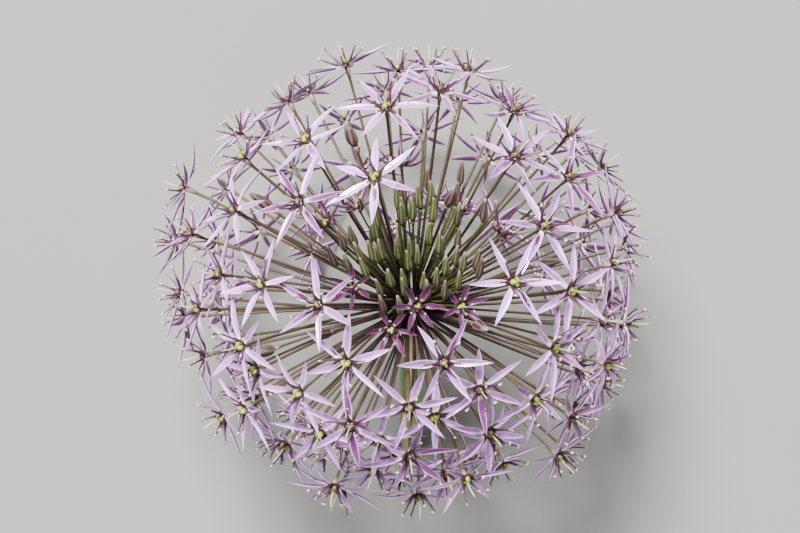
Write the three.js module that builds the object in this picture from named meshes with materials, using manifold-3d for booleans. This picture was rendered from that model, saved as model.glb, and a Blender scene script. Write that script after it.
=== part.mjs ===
// Allium flower head, cut with a short stalk and laid down: it rests on the cut edge of the stalk
// and on the tepal tips of its lowest flowers. Millimetres and degrees, +Z up.
//
// The head is an umbel. Every flower stands on its own thin stalk, the pedicel, and all pedicels
// grow from the receptacle, a small dome at the top of the scape, the main stalk. A cluster of
// closed buds is in the middle, half-open flowers stand round it, and open stars cover the rest.

import * as THREE from "three";
import Module from "manifold-3d";

// Pose: the scape's upward direction is raised this far above the surface, and leans to +Y.
const AXIS_ELEVATION = 55;
const HUB_HEIGHT = 83.5; // centre of the receptacle above the surface

// Scape, receptacle and spathe
const SCAPE_RADIUS = 4.5;
const CORE_RADIUS = 4.7; // solid dome below the pedicel bases
const PAD_INNER = 5.3; // the pedicel bases are joined in pads, which cover the dome
const PAD_OUTER = 7.6;
const PAD_GAP = 0.3; // between neighbouring pads
const SPATHE_LENGTH = 27;
const SPATHE_WIDTH = 9;

// Numbers of flowers, from the middle of the head outwards
const TUFT_BUDS = 51;
const OPENING = 9;
const OUTER = 126; // open stars, with some late buds among them
const LATE_BUD_STEP = 6; // every so many outer flowers, one in the upper part is still a bud
const LATE_BUD_FIRST = 3;
const LATE_BUD_PART = 0.5; // the upper part of the outer flowers
const ALL = TUFT_BUDS + OPENING + OUTER;
const ROOT_LIMIT = 125; // the dome is covered with pedicel bases down to this angle
const UMBEL_LIMIT = 123; // and the head with flowers
const TUFT_LIMIT = 27; // the buds end at this angle
const OPENING_FROM = 26;
const OPENING_LIMIT = 39;
const WINDOW = 21; // the open stars begin at this angle
const TUFT_LEAN = 7; // how far the buds lean from the scape's line
const STAR_LEAN = 22; // and how far the stars round them do
const LEAN_ENDS = [30, 110]; // the stars' lean dies away between these angles

// The open stars' centres lie about a sphere, whose centre is off the receptacle's.
const HEAD_RADIUS = 84;
const HEAD_OFFSET = [-2, 14.5, 4];
const HEAD_FLATTENING = 0.06; // of the reach towards +Y and -Y
const BUD_REACH = [38, 52];
const OPENING_REACH = 56;
const LATE_BUD_SHARE = 0.74; // of a star's reach

// One flower
const TEPAL_LENGTH = 18.7;
const TEPAL_HALF_WIDTH = 1.25;
const TEPAL_WIDEST = 0.42; // of its length
const TEPAL_RIDGE = 0.8; // its thickness at the midrib
const OPENING_TEPAL_LENGTH = 9.5;
const NOTCH_RADIUS = 1.9; // where two tepals part
const OVARY_RADIUS = 1.5;
const OVARY_HEIGHT = 0.6;
const STYLE_HEIGHT = 9;
const FOOT_DEPTH = 1; // below the tepals, where the pedicel ends
const STAR_CUP = [-1.5, 4]; // how far the tepal tips are bent forward
const OPENING_CUP = [5, 8];
const BUD_LENGTH = 10.5;
const BUD_RADIUS = 1.9;
const FACE_LOWEST = -0.45; // flowers below turn their faces outwards, no steeper than this
const BUD_UPRIGHT = [-0.15, 0.87, 0.5]; // the line that the young buds turn towards
const BUD_TURN = 0.6; // and how much of the way
const BUD_TILT = 0.5; // of a star's tilt

// Its pedicel: thin in young flowers, rooted in a pad, and bent once
const PEDICEL_RADIUS = 0.75;
const YOUNG_PEDICEL_RADIUS = 0.6;
const YOUNG_SHARE = 0.5; // of an open flower's room on the dome
const ROOT_PULL = 0.5; // how far the roots of a pad are drawn to its middle
const BEND_AT = 0.4; // the curve's control point, as a share of the reach
const BEND_TURN = 0.6; // and how far it has turned from the root's direction to the flower's

// How much flowers differ
const DIRECTION_SPREAD = 2.4; // degrees
const REACH_SPREAD = 2.5;
const FACE_TILT = 15; // degrees at most
const ROLL_SPREAD = 5; // degrees
const SIZE_SPREAD = 0.05; // of the size
const TEPAL_SPREAD = 0.06; // of the length
const TEPAL_SWAY = 1;

const GOLDEN_ANGLE = 137.50776;
const SEED = 36;

const rad = THREE.MathUtils.degToRad;

// Short vector helpers on [x, y, z]
const plus = (a, b) => [a[0] + b[0], a[1] + b[1], a[2] + b[2]];
const less = (a, b) => [a[0] - b[0], a[1] - b[1], a[2] - b[2]];
const times = (a, k) => [a[0] * k, a[1] * k, a[2] * k];
const dot = (a, b) => a[0] * b[0] + a[1] * b[1] + a[2] * b[2];
const cross = (a, b) => [
  a[1] * b[2] - a[2] * b[1],
  a[2] * b[0] - a[0] * b[2],
  a[0] * b[1] - a[1] * b[0],
];
const size = (a) => Math.sqrt(dot(a, a));
const unit = (a) => times(a, 1 / size(a));
const mix = (a, b, k) => plus(times(a, 1 - k), times(b, k));
const anyAcross = (a) => unit(cross(a, Math.abs(a[2]) < 0.9 ? [0, 0, 1] : [0, 1, 0]));

// The scape's frame: along it, towards the surface on the +Y side, and sideways.
const ALONG = [0, Math.cos(rad(AXIS_ELEVATION)), Math.sin(rad(AXIS_ELEVATION))];
const BELOW = [0, Math.sin(rad(AXIS_ELEVATION)), -Math.cos(rad(AXIS_ELEVATION))];
const SIDE = [1, 0, 0];
const HUB = [0, 0, HUB_HEIGHT];

// The direction at a polar angle from the scape's line and an angle round it, in degrees.
function direction(polar, around) {
  const across = plus(
    times(BELOW, Math.cos(rad(around))),
    times(SIDE, Math.sin(rad(around))),
  );
  return plus(times(ALONG, Math.cos(rad(polar))), times(across, Math.sin(rad(polar))));
}

// The same direction, leaned from +Y towards -Y over the top.
function leaned(d, degrees) {
  const c = Math.cos(rad(degrees));
  const s = Math.sin(rad(degrees));
  return [d[0], c * d[1] - s * d[2], s * d[1] + c * d[2]];
}

// A seeded sequence of numbers from 0 to 1.
let state = SEED;
function draw() {
  state = (Math.imul(state, 1664525) + 1013904223) >>> 0;
  return state / 4294967296;
}
const spread = (most) => (draw() * 2 - 1) * most;

// 0 up to one edge, 1 past the other, and smooth between.
function smooth(x, from, to) {
  const t = Math.min(1, Math.max(0, (x - from) / (to - from)));
  return t * t * (3 - 2 * t);
}

// The polar angle that leaves a given share of the sphere between two others above it.
function evenPolar(share, from, to) {
  const top = Math.cos(rad(from));
  const bottom = Math.cos(rad(to));
  return THREE.MathUtils.radToDeg(Math.acos(top + (bottom - top) * share));
}

// Where a rank's pedicel is rooted on the dome. Young pedicels are thin and take less room.
const YOUNG = TUFT_BUDS + OPENING;
function rootPolar(rank) {
  const taken = rank < YOUNG ? rank * YOUNG_SHARE : YOUNG * YOUNG_SHARE + rank - YOUNG;
  return evenPolar(taken / (YOUNG * YOUNG_SHARE + OUTER), 0, ROOT_LIMIT);
}

// The pads: four over the buds, and two rings of twelve for the stars.
const NODE_NAMES = ["bud_cluster", "upper_florets", "lower_florets"];
const CAP_SECTORS = 4;
const RING_SECTORS = 12;
const CAP_MIDDLE = 0.6; // of the cap's angle, where the middle of one of its sectors is
const ROOT_RADIUS = (PAD_INNER + PAD_OUTER) / 2;
function padOf(index) {
  const first = [0, YOUNG, YOUNG + OUTER / 2, ALL];
  const band = first.findIndex((rank) => rank > index) - 1;
  const sectors = band ? RING_SECTORS : CAP_SECTORS;
  const around = (index * GOLDEN_ANGLE) % 360;
  const sector = Math.floor((around * sectors) / 360);
  const name = `${NODE_NAMES[band]}_${String(sector + 1).padStart(2, "0")}`;
  const [from, to] = [rootPolar(first[band]), rootPolar(first[band + 1])];
  return { name, band, sector, sectors, from, to };
}

// One flower's random traits, drawn in a fixed order.
function traits(index) {
  const t = {
    index,
    polarShift: spread(DIRECTION_SPREAD),
    aroundShift: spread(DIRECTION_SPREAD),
    reachShift: spread(REACH_SPREAD),
    faceTilt: draw() * FACE_TILT,
    faceTurn: draw() * 360,
    scale: 1 - SIZE_SPREAD + draw() * 2 * SIZE_SPREAD,
    roll: spread(ROLL_SPREAD),
    lift: [],
    sway: [],
    long: [],
  };
  for (let k = 0; k < 6; k += 1) {
    t.lift.push(draw());
    t.sway.push(spread(TEPAL_SWAY));
    t.long.push(1 - TEPAL_SPREAD + draw() * 2 * TEPAL_SPREAD);
  }
  return t;
}

// What kind of flower an index is, with its place before the search for room.
function kindOf(index) {
  if (index < TUFT_BUDS) return "bud";
  if (index < YOUNG) return "opening";
  const star = index - YOUNG;
  const late = star < OUTER * LATE_BUD_PART && star % LATE_BUD_STEP === LATE_BUD_FIRST;
  return late ? "late" : "star";
}

// How far a star stands from the receptacle's centre, on the offset sphere.
function starReach(d, radius) {
  const along = dot(d, HEAD_OFFSET);
  const round = along + Math.sqrt(along * along - dot(HEAD_OFFSET, HEAD_OFFSET) + radius * radius);
  return round * (1 - HEAD_FLATTENING * d[1] * d[1]);
}

// The pedicel is a curve with one control point: it leaves the dome steeply and then runs straight.
function pedicelPoint(f, t) {
  const a = times(f.root, (1 - t) * (1 - t));
  const b = times(f.bend, 2 * t * (1 - t));
  return plus(plus(a, b), times(f.centre, t * t));
}

// A tepal's midline: straight out, and lifted and swayed by the square of the way along it.
function tepalPoint(f, k, part) {
  const angle = rad(f.roll + 60 * k);
  const out = plus(times(f.e1, Math.cos(angle)), times(f.e2, Math.sin(angle)));
  const wide = plus(times(f.e2, Math.cos(angle)), times(f.e1, -Math.sin(angle)));
  const long = f.tepal * f.traits.long[k];
  const lift = times(f.face, f.lift[k] * part * part);
  const sway = times(wide, f.traits.sway[k] * part * part);
  return { at: plus(plus(f.centre, times(out, long * part)), plus(lift, sway)), wide, out };
}

// Lays out a flower of a kind: its reach is changed by step, its tepals are turned by turn, and
// its direction is shifted.
const POLE_ROOM = 0.15; // near the pole a shift round it stays small
function layOut(t, kind, step, turn, shiftPolar, shiftAround) {
  const index = t.index;
  const around = index * GOLDEN_ANGLE;
  let polar;
  let lean;
  if (kind === "bud") {
    polar = evenPolar((index + 0.5) / TUFT_BUDS, 0, TUFT_LIMIT);
    lean = TUFT_LEAN;
  } else if (kind === "opening") {
    polar = evenPolar((index - TUFT_BUDS + 0.5) / OPENING, OPENING_FROM, OPENING_LIMIT);
    lean = TUFT_LEAN;
  } else {
    polar = evenPolar((index - YOUNG + 0.5) / OUTER, WINDOW, UMBEL_LIMIT);
    lean = STAR_LEAN * (1 - smooth(polar, ...LEAN_ENDS));
  }
  polar += t.polarShift + shiftPolar;
  const turnShift = (t.aroundShift + shiftAround) / Math.max(POLE_ROOM, Math.sin(rad(polar)));
  const d = unit(leaned(direction(polar, around + turnShift), lean));

  const pad = padOf(index);
  const middle = direction(
    pad.band ? (pad.from + pad.to) / 2 : pad.to * CAP_MIDDLE,
    ((pad.sector + 0.5) * 360) / pad.sectors,
  );
  const rootAt = unit(mix(direction(rootPolar(index + 0.5), around), middle, ROOT_PULL));

  let reach;
  if (kind === "bud") {
    reach = BUD_REACH[0] + (BUD_REACH[1] - BUD_REACH[0]) * (index / TUFT_BUDS);
  } else if (kind === "opening") {
    reach = OPENING_REACH;
  } else {
    reach = starReach(d, HEAD_RADIUS) * (kind === "late" ? LATE_BUD_SHARE : 1);
  }
  reach += t.reachShift + step;

  const f = { traits: t, kind, pad, d, index, roll: t.roll + turn };
  f.root = plus(HUB, times(rootAt, ROOT_RADIUS));
  f.tepal = (kind === "opening" ? OPENING_TEPAL_LENGTH : TEPAL_LENGTH) * t.scale;
  const cup = kind === "opening" ? OPENING_CUP : STAR_CUP;
  f.lift = t.lift.map((v) => cup[0] + (cup[1] - cup[0]) * v);

  // The face looks along the pedicel, tilted a little, and never steeply down.
  const side = anyAcross(d);
  const other = cross(d, side);
  const tilt = plus(
    times(side, Math.cos(rad(t.faceTurn))),
    times(other, Math.sin(rad(t.faceTurn))),
  );
  const tilted = unit(plus(d, times(tilt, Math.tan(rad(t.faceTilt)))));
  f.face = unit([tilted[0], tilted[1], Math.max(tilted[2], FACE_LOWEST)]);
  if (kind === "bud" || kind === "late") f.face = unit(mix(d, tilted, BUD_TILT));
  if (kind === "bud") f.face = unit(mix(f.face, unit(BUD_UPRIGHT), BUD_TURN));
  f.e1 = anyAcross(f.face);
  f.e2 = cross(f.face, f.e1);

  place(f, reach);
  if (kind === "star") {
    // A star that would dip below the surface is pushed back until its lowest tip is on it.
    const lowest = Math.min(...[0, 1, 2, 3, 4, 5].map((k) => tepalPoint(f, k, 1).at[2]));
    if (lowest < 0) place(f, reach - lowest / d[2]);
  }
  return f;
}

function place(f, reach) {
  f.centre = plus(HUB, times(f.d, reach));
  const rootWay = unit(less(f.root, HUB));
  f.bend = plus(HUB, times(unit(mix(rootWay, f.d, BEND_TURN)), reach * BEND_AT));
  outline(f);
}

// The lines that stand for a flower in the search for room: its stem, its tepals or its bud.
const STEM_START = 5; // nearer the dome, the pedicels stand close together
const BLADE_PARTS = [0.12, 0.34, 0.56, 0.78, 1];
function outline(f) {
  const half = pedicelPoint(f, 0.5);
  const start = plus(f.root, times(unit(less(half, f.root)), STEM_START));
  f.stem = [start, mix(start, half, 0.5), half, mix(half, f.centre, 0.5), f.centre];
  f.blades = [];
  f.body = [];
  if (f.kind === "star" || f.kind === "opening") {
    for (let k = 0; k < 6; k += 1) {
      f.blades.push(BLADE_PARTS.map((part) => tepalPoint(f, k, part).at));
    }
    f.stem.push(plus(f.centre, times(f.face, STYLE_HEIGHT))); // the style stands in the same line
  } else {
    f.body = [f.centre, plus(f.centre, times(f.face, BUD_LENGTH))];
  }
}

// The distance from a point to the piece of a line between two others.
function distance(p, a, b) {
  const x = b[0] - a[0];
  const y = b[1] - a[1];
  const z = b[2] - a[2];
  const u = p[0] - a[0];
  const v = p[1] - a[1];
  const w = p[2] - a[2];
  const t = Math.min(1, Math.max(0, (u * x + v * y + w * z) / (x * x + y * y + z * z)));
  const i = u - t * x;
  const j = v - t * y;
  const k = w - t * z;
  return Math.sqrt(i * i + j * j + k * k);
}

// The least distance from one line's points, and the middles between them, to another line.
function lineGap(one, two) {
  let least = Infinity;
  for (let i = 0; i < one.length; i += 1) {
    for (let j = 0; j + 1 < two.length; j += 1) {
      least = Math.min(least, distance(one[i], two[j], two[j + 1]));
      if (i + 1 < one.length) {
        least = Math.min(least, distance(mix(one[i], one[i + 1], 0.5), two[j], two[j + 1]));
      }
    }
  }
  return least;
}

// Tepals cross freely at different depths, so depth counts this much more than width there.
const DEPTH_WEIGHT = 3;
function deepened(line, face) {
  return line.map((p) => plus(p, times(face, dot(p, face) * (DEPTH_WEIGHT - 1))));
}

// How much room is left between two flowers, after the width that each part needs.
const TEPALS_MEET = 2.4; // flowers further apart than this, in tepal lengths, can't touch
const ROOM = {
  bladeBlade: 2.5,
  bladeStem: 2.3,
  stemStem: 1.6,
  bodyStem: 2.7,
  bodyBody: 3.6,
  bodyBlade: 3.2,
};
function room(f, g) {
  let least = Infinity;
  if (size(less(f.centre, g.centre)) < TEPALS_MEET * TEPAL_LENGTH) {
    for (const p of f.blades) {
      const deep = deepened(p, f.face);
      for (const q of g.blades) {
        least = Math.min(least, lineGap(deep, deepened(q, f.face)) - ROOM.bladeBlade);
      }
    }
  }
  for (const p of f.blades) {
    least = Math.min(least, lineGap(p, g.stem) - ROOM.bladeStem);
    if (g.body.length) least = Math.min(least, lineGap(p, g.body) - ROOM.bodyBlade);
  }
  for (const q of g.blades) {
    least = Math.min(least, lineGap(q, f.stem) - ROOM.bladeStem);
    if (f.body.length) least = Math.min(least, lineGap(q, f.body) - ROOM.bodyBlade);
  }
  least = Math.min(least, lineGap(f.stem, g.stem) - ROOM.stemStem);
  if (f.body.length) least = Math.min(least, lineGap(f.body, g.stem) - ROOM.bodyStem);
  if (g.body.length) least = Math.min(least, lineGap(f.stem, g.body) - ROOM.bodyStem);
  if (f.body.length && g.body.length) {
    least = Math.min(least, lineGap(f.body, g.body) - ROOM.bodyBody);
  }
  return least;
}

// The places that a flower may take, the wanted one first: steps along its pedicel, turns of its
// tepals, and shifts of its direction in degrees.
const STEPS = { star: [0, 4, -4, 8, -8], late: [0, 4, -4], opening: [0, 4, -4], bud: [0, 3, -3, 6] };
const SHIFTS = { star: [0, 3, 6], late: [0, 4], opening: [0, 3, 6], bud: [0, 2.5, 5] };
const TURNS = [0, 10, 20, 30, 40, 50];
const WANTED_ROOM = 0.6;
const SHIFT_WAYS = 8;

function options(kind) {
  const list = [];
  for (const shift of SHIFTS[kind]) {
    for (let way = 0; way < (shift ? SHIFT_WAYS : 1); way += 1) {
      for (const step of STEPS[kind]) {
        for (const turn of kind === "star" || kind === "opening" ? TURNS : [0]) {
          const angle = rad((way * 360) / SHIFT_WAYS);
          list.push([step, turn, shift * Math.cos(angle), shift * Math.sin(angle)]);
        }
      }
    }
  }
  return list;
}

// Whether two solids share more than a trace. Solids with separate boxes don't.
const TRACE = 1e-4; // cubic millimetres
function meet(a, b) {
  const one = a.boundingBox();
  const two = b.boundingBox();
  const apart = [0, 1, 2].some((k) => one.max[k] < two.min[k] || two.max[k] < one.min[k]);
  return !apart && a.intersect(b).volume() > TRACE;
}

// Whether a flower's solid is clear of all pads and placed flowers that it isn't joined with.
function isClear(f, placed, pads) {
  f.solid = flowerSolid(f);
  const others = placed.filter((g) => g.pad.name !== f.pad.name).map((g) => g.solid);
  for (const [name, solidPad] of pads) if (name !== f.pad.name) others.push(solidPad);
  return !others.some((other) => meet(f.solid, other));
}

// Each flower takes the first place that leaves room to all before it, or else the roomiest.
function placeAll(pads) {
  const drawn = [];
  for (let index = 0; index < ALL; index += 1) drawn.push(traits(index));
  const placed = [];
  for (const kind of ["star", "late", "opening", "bud"]) {
    const choices = options(kind);
    for (const t of drawn.filter((other) => kindOf(other.index) === kind)) {
      let best;
      let most = -Infinity;
      for (const choice of choices) {
        const f = layOut(t, kind, ...choice);
        let least = WANTED_ROOM;
        for (const g of placed) {
          least = Math.min(least, room(f, g));
          if (least <= most) break;
        }
        if (least > most && isClear(f, placed, pads)) {
          most = least;
          best = f;
        }
        if (most >= WANTED_ROOM) break;
      }
      if (!best) throw new Error(`no place is clear for flower ${t.index}`);
      placed.push(best);
    }
  }
  return placed;
}

const wasm = await Module();
wasm.setup();

// A closed mesh from corner points and triangles, as a solid. Triangles that face in are turned.
function solid(points, triangles) {
  const make = (list) =>
    new wasm.Manifold(
      new wasm.Mesh({
        numProp: 3,
        vertProperties: new Float32Array(points.flat()),
        triVerts: new Uint32Array(list.flat()),
      }),
    );
  const made = make(triangles);
  return made.volume() > 0 ? made : make(triangles.map(([a, b, c]) => [a, c, b]));
}

// A flower on its pedicel. The pedicel has three sides, from its root in the dome to a ring below
// the flower, which is joined to the flower's own ring of six points.
const PEDICEL_STATIONS = [
  [0, 0.7], // part of the curve, and share of the full radius
  [0.5, 0.9],
  [1, 1],
];
function flowerSolid(f) {
  const turned = (k) => {
    const angle = rad(f.roll + 60 * k - 30);
    return plus(times(f.e1, Math.cos(angle)), times(f.e2, Math.sin(angle)));
  };
  const above = (h) => plus(f.centre, times(f.face, h));
  const way = unit(less(f.centre, f.bend));
  const thick = f.index < YOUNG ? YOUNG_PEDICEL_RADIUS : PEDICEL_RADIUS;
  const points = [];
  const triangles = [[2, 1, 0]];
  for (const [t, share] of PEDICEL_STATIONS) {
    const at = t === 1 ? above(f.blades.length ? -FOOT_DEPTH : 0) : pedicelPoint(f, t);
    for (let j = 0; j < 3; j += 1) {
      const out = turned(2 * j);
      const square = unit(less(out, times(way, dot(out, way))));
      points.push(plus(at, times(square, thick * share)));
    }
  }
  const last = (PEDICEL_STATIONS.length - 1) * 3;
  const hexagon = last + 3;
  for (let j = 0; j < 3; j += 1) {
    const next = (j + 1) % 3;
    for (let r = 0; r < last; r += 3) {
      triangles.push([r + 3 + next, r + 3 + j, r + j], [r + 3 + next, r + j, r + next]);
    }
    const [n0, n1, n2] = [2 * j, 2 * j + 1, (2 * j + 2) % 6].map((k) => hexagon + k);
    triangles.push([last + j, n1, n0], [last + j, last + next, n1], [last + next, n2, n1]);
  }
  if (f.blades.length) addStar(f, points, triangles, hexagon, turned, above);
  else addBud(points, triangles, hexagon, turned, above);
  return solid(points, triangles);
}

// Six tepals round a pointed centre, which stands for the ovary and style. The ring of six is the
// notches between the tepals. A tepal has a ridge at its widest place, and thins to its edges.
function addStar(f, points, triangles, hexagon, turned, above) {
  for (let k = 0; k < 6; k += 1) points.push(plus(f.centre, times(turned(k), NOTCH_RADIUS)));
  const styleTip = points.push(above(STYLE_HEIGHT * f.traits.scale)) - 1;
  const ovary = points.length;
  const ovaryAt = above(OVARY_HEIGHT);
  for (let k = 0; k < 6; k += 1) points.push(plus(ovaryAt, times(turned(k), OVARY_RADIUS)));
  for (let k = 0; k < 6; k += 1) {
    const middle = tepalPoint(f, k, TEPAL_WIDEST);
    const half = times(middle.wide, TEPAL_HALF_WIDTH * f.traits.scale);
    const right = points.push(less(middle.at, half)) - 1;
    const left = points.push(plus(middle.at, half)) - 1;
    const ridge = points.push(plus(middle.at, times(f.face, TEPAL_RIDGE))) - 1;
    const tip = points.push(tepalPoint(f, k, 1).at) - 1;
    const [n, n2] = [hexagon + k, hexagon + ((k + 1) % 6)];
    const [o, o2] = [ovary + k, ovary + ((k + 1) % 6)];
    triangles.push([styleTip, o, o2], [o, ridge, o2], [o, n, ridge], [n, right, ridge]);
    triangles.push([right, tip, ridge], [tip, left, ridge], [left, n2, ridge], [n2, o2, ridge]);
    triangles.push([left, tip, right], [n2, left, right], [n2, right, n]);
  }
}

// A pointed bud, widest near its base.
const BUD_RINGS = [
  [0.25, 1], // part of the length, and share of the full radius
  [0.62, 0.74],
];
function addBud(points, triangles, hexagon, turned, above) {
  for (const [height, radius] of BUD_RINGS) {
    for (let k = 0; k < 6; k += 1) {
      points.push(plus(above(BUD_LENGTH * height), times(turned(k), BUD_RADIUS * radius)));
    }
  }
  const tip = points.push(above(BUD_LENGTH)) - 1;
  for (let k = 0; k < 6; k += 1) {
    const [a, b] = [hexagon + k, hexagon + ((k + 1) % 6)];
    triangles.push([a, b, b + 6], [a, b + 6, a + 6], [a + 6, b + 6, tip]);
  }
}

// A pad: a block of the dome's shell, a little smaller than its share on every side. The four
// over the buds leave the pole free, where they would be thin.
const POLE_FREE = 6;
function padSolid(pad) {
  const steps = pad.band ? 1 : 2;
  const gap = THREE.MathUtils.radToDeg(PAD_GAP / 2 / ROOT_RADIUS);
  const from = pad.band ? pad.from + gap : POLE_FREE;
  const layer = (radius) => {
    const points = [];
    for (let i = 0; i <= steps; i += 1) {
      const polar = from + ((pad.to - gap - from) * i) / steps;
      const side = gap / Math.sin(rad(polar));
      for (let j = 0; j <= steps; j += 1) {
        const width = 360 / pad.sectors;
        const around = pad.sector * width + side + ((width - 2 * side) * j) / steps;
        points.push(plus(HUB, times(direction(polar, around), radius)));
      }
    }
    return points;
  };
  const row = steps + 1;
  const count = row * row;
  const triangles = [];
  for (let i = 0; i < steps; i += 1) {
    for (let j = 0; j < steps; j += 1) {
      const a = i * row + j;
      triangles.push([a, a + 1, a + row + 1], [a, a + row + 1, a + row]);
      const b = a + count;
      triangles.push([b, b + row + 1, b + 1], [b, b + row, b + row + 1]);
    }
    const wall = (a, b) => triangles.push([b, a, a + count], [b, a + count, b + count]);
    wall(i, i + 1);
    wall(steps * row + i + 1, steps * row + i);
    wall((i + 1) * row, i * row);
    wall(i * row + steps, (i + 1) * row + steps);
  }
  return solid([...layer(PAD_INNER), ...layer(PAD_OUTER)], triangles);
}

function geometryOf(made) {
  const mesh = made.getMesh();
  const geometry = new THREE.BufferGeometry();
  geometry.setAttribute("position", new THREE.BufferAttribute(mesh.vertProperties, 3));
  geometry.setIndex(new THREE.BufferAttribute(mesh.triVerts, 1));
  return geometry;
}

const finishes = {
  star: new THREE.MeshStandardMaterial({ color: 0xb79ac0, roughness: 0.45, metalness: 0.1 }),
  bud: new THREE.MeshStandardMaterial({ color: 0x77804f, roughness: 0.6 }),
  scape: new THREE.MeshStandardMaterial({ color: 0x5f7a3f, roughness: 0.55 }),
  spathe: new THREE.MeshStandardMaterial({ color: 0xcbb996, roughness: 0.8 }),
};

const head = new THREE.Group();
function addMesh(name, geometry, finish) {
  const mesh = new THREE.Mesh(geometry, finish);
  mesh.name = name;
  head.add(mesh);
  return mesh;
}

// The flowers of each pad are joined with it.
const pads = new Map();
for (let index = 0; index < ALL; index += 1) {
  const pad = padOf(index);
  if (!pads.has(pad.name)) pads.set(pad.name, padSolid(pad));
}
const flowers = placeAll(pads);
for (const name of [...pads.keys()].sort()) {
  const members = flowers.filter((f) => f.pad.name === name);
  const joined = members.reduce((sum, f) => sum.add(f.solid), pads.get(name));
  addMesh(name, geometryOf(joined), finishes[members[0].pad.band ? "star" : "bud"]);
}

// The scape and the core of the receptacle: one turned shape along the scape's line, with a
// collar where the spathe grew, a neck over it, and the core. The cut end is square to the scape,
// and the lowest point of its rim is on the surface.
const SCAPE_SIDES = 12;
const COLLAR_RADIUS = SCAPE_RADIUS + 0.5;
const COLLAR_DEPTH = 6.2;
const SHOULDER_DEPTH = 9;
const NECK_RADIUS = 3.3;
const NECK_DEPTH = 4.4;
const CORE_ANGLES = [-35, 0, 45]; // of the points on it, below the one at its top
const cutDepth = (HUB_HEIGHT - SCAPE_RADIUS * Math.cos(rad(AXIS_ELEVATION))) / ALONG[2];
const corePoint = (angle) => [CORE_RADIUS * Math.cos(rad(angle)), CORE_RADIUS * Math.sin(rad(angle))];
const profile = [
  [0, -cutDepth],
  [SCAPE_RADIUS, -cutDepth],
  [SCAPE_RADIUS, -SHOULDER_DEPTH],
  [COLLAR_RADIUS, -COLLAR_DEPTH],
  [NECK_RADIUS, -NECK_DEPTH],
  ...CORE_ANGLES.map(corePoint),
  [0, CORE_RADIUS],
].map(([x, y]) => new THREE.Vector2(x, y));
const scape = addMesh(
  "scape_and_receptacle",
  new THREE.LatheGeometry(profile, SCAPE_SIDES),
  finishes.scape,
);
scape.quaternion.setFromUnitVectors(new THREE.Vector3(0, 1, 0), new THREE.Vector3(...ALONG));
scape.position.set(...HUB);

// A solid from rings of four points, each ring joined to the next, with a flat and a pointed end.
function bladeSolid(rings, tip) {
  const points = [...rings.flat(), tip];
  const triangles = [[2, 1, 0], [3, 2, 0]];
  for (let r = 0; r < rings.length; r += 1) {
    for (let k = 0; k < 4; k += 1) {
      const a = r * 4 + k;
      const b = r * 4 + ((k + 1) % 4);
      if (r + 1 < rings.length) triangles.push([a, b, b + 4], [a, b + 4, a + 4]);
      else triangles.push([a, b, points.length - 1]);
    }
  }
  return solid(points, triangles);
}

// The spathe's three dry valves lie against the scape below the receptacle and hang out from it.
// Across, a valve is arched: its edges lie nearer the scape than its middle.
const SPATHE_VALVES = 3;
const VALVE_FIRST = 60; // degrees round the scape
const VALVE_STATIONS = [
  [0, 0.45], // part of the length, and share of the full width
  [0.2, 0.85],
  [0.45, 1],
  [0.75, 0.7],
];
const VALVE_THICKNESS = 0.8;
const VALVE_DEPTH = 8.5; // of its foot, below the receptacle's centre
const VALVE_CLEARANCE = 0.8; // from the scape to the middle of its foot
const VALVE_HANG = 9; // how far its tip stands out
const VALVE_SHORTENING = 0.12; // of its length, by hanging out
const VALVE_ARCH = 0.07; // per millimetre, times the square of the half width
const VALVE_EDGE = 0.5;
for (let valve = 0; valve < SPATHE_VALVES; valve += 1) {
  const around = VALVE_FIRST + (360 / SPATHE_VALVES) * valve;
  const out = direction(90, around);
  const across = cross(ALONG, out);
  const midline = (t) => {
    const away = SCAPE_RADIUS + VALVE_CLEARANCE + VALVE_HANG * t * t;
    const down = -VALVE_DEPTH - SPATHE_LENGTH * (t - VALVE_SHORTENING * t * t);
    return plus(HUB, plus(times(out, away), times(ALONG, down)));
  };
  const rings = VALVE_STATIONS.map(([t, width]) => {
    const at = midline(t);
    const half = (SPATHE_WIDTH / 2) * width;
    const edge = times(out, VALVE_EDGE - VALVE_ARCH * half * half);
    return [
      plus(at, times(out, VALVE_THICKNESS / 2)),
      plus(at, plus(times(across, half), edge)),
      plus(at, times(out, -VALVE_THICKNESS / 2)),
      plus(at, plus(times(across, -half), edge)),
    ];
  });
  const blade = bladeSolid(rings, midline(1));
  addMesh(`spathe_valve_${valve + 1}`, geometryOf(blade), finishes.spathe);
}

// The origin is in the middle below the whole, on the surface.
head.updateMatrixWorld(true);
const box = new THREE.Box3().setFromObject(head, true);
head.position.set(-(box.min.x + box.max.x) / 2, -(box.min.y + box.max.y) / 2, -box.min.z);

export default head;
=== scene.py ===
# %% [markdown]
# # An allium flower head in Blender
#
# The head is an umbel: every flower stands on its own thin stalk, the pedicel, and all pedicels
# grow from one small dome, the receptacle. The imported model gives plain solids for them. This
# script keeps each flower exactly where its solid is and grows finer parts there.

# %% Load the frame
import math

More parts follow.
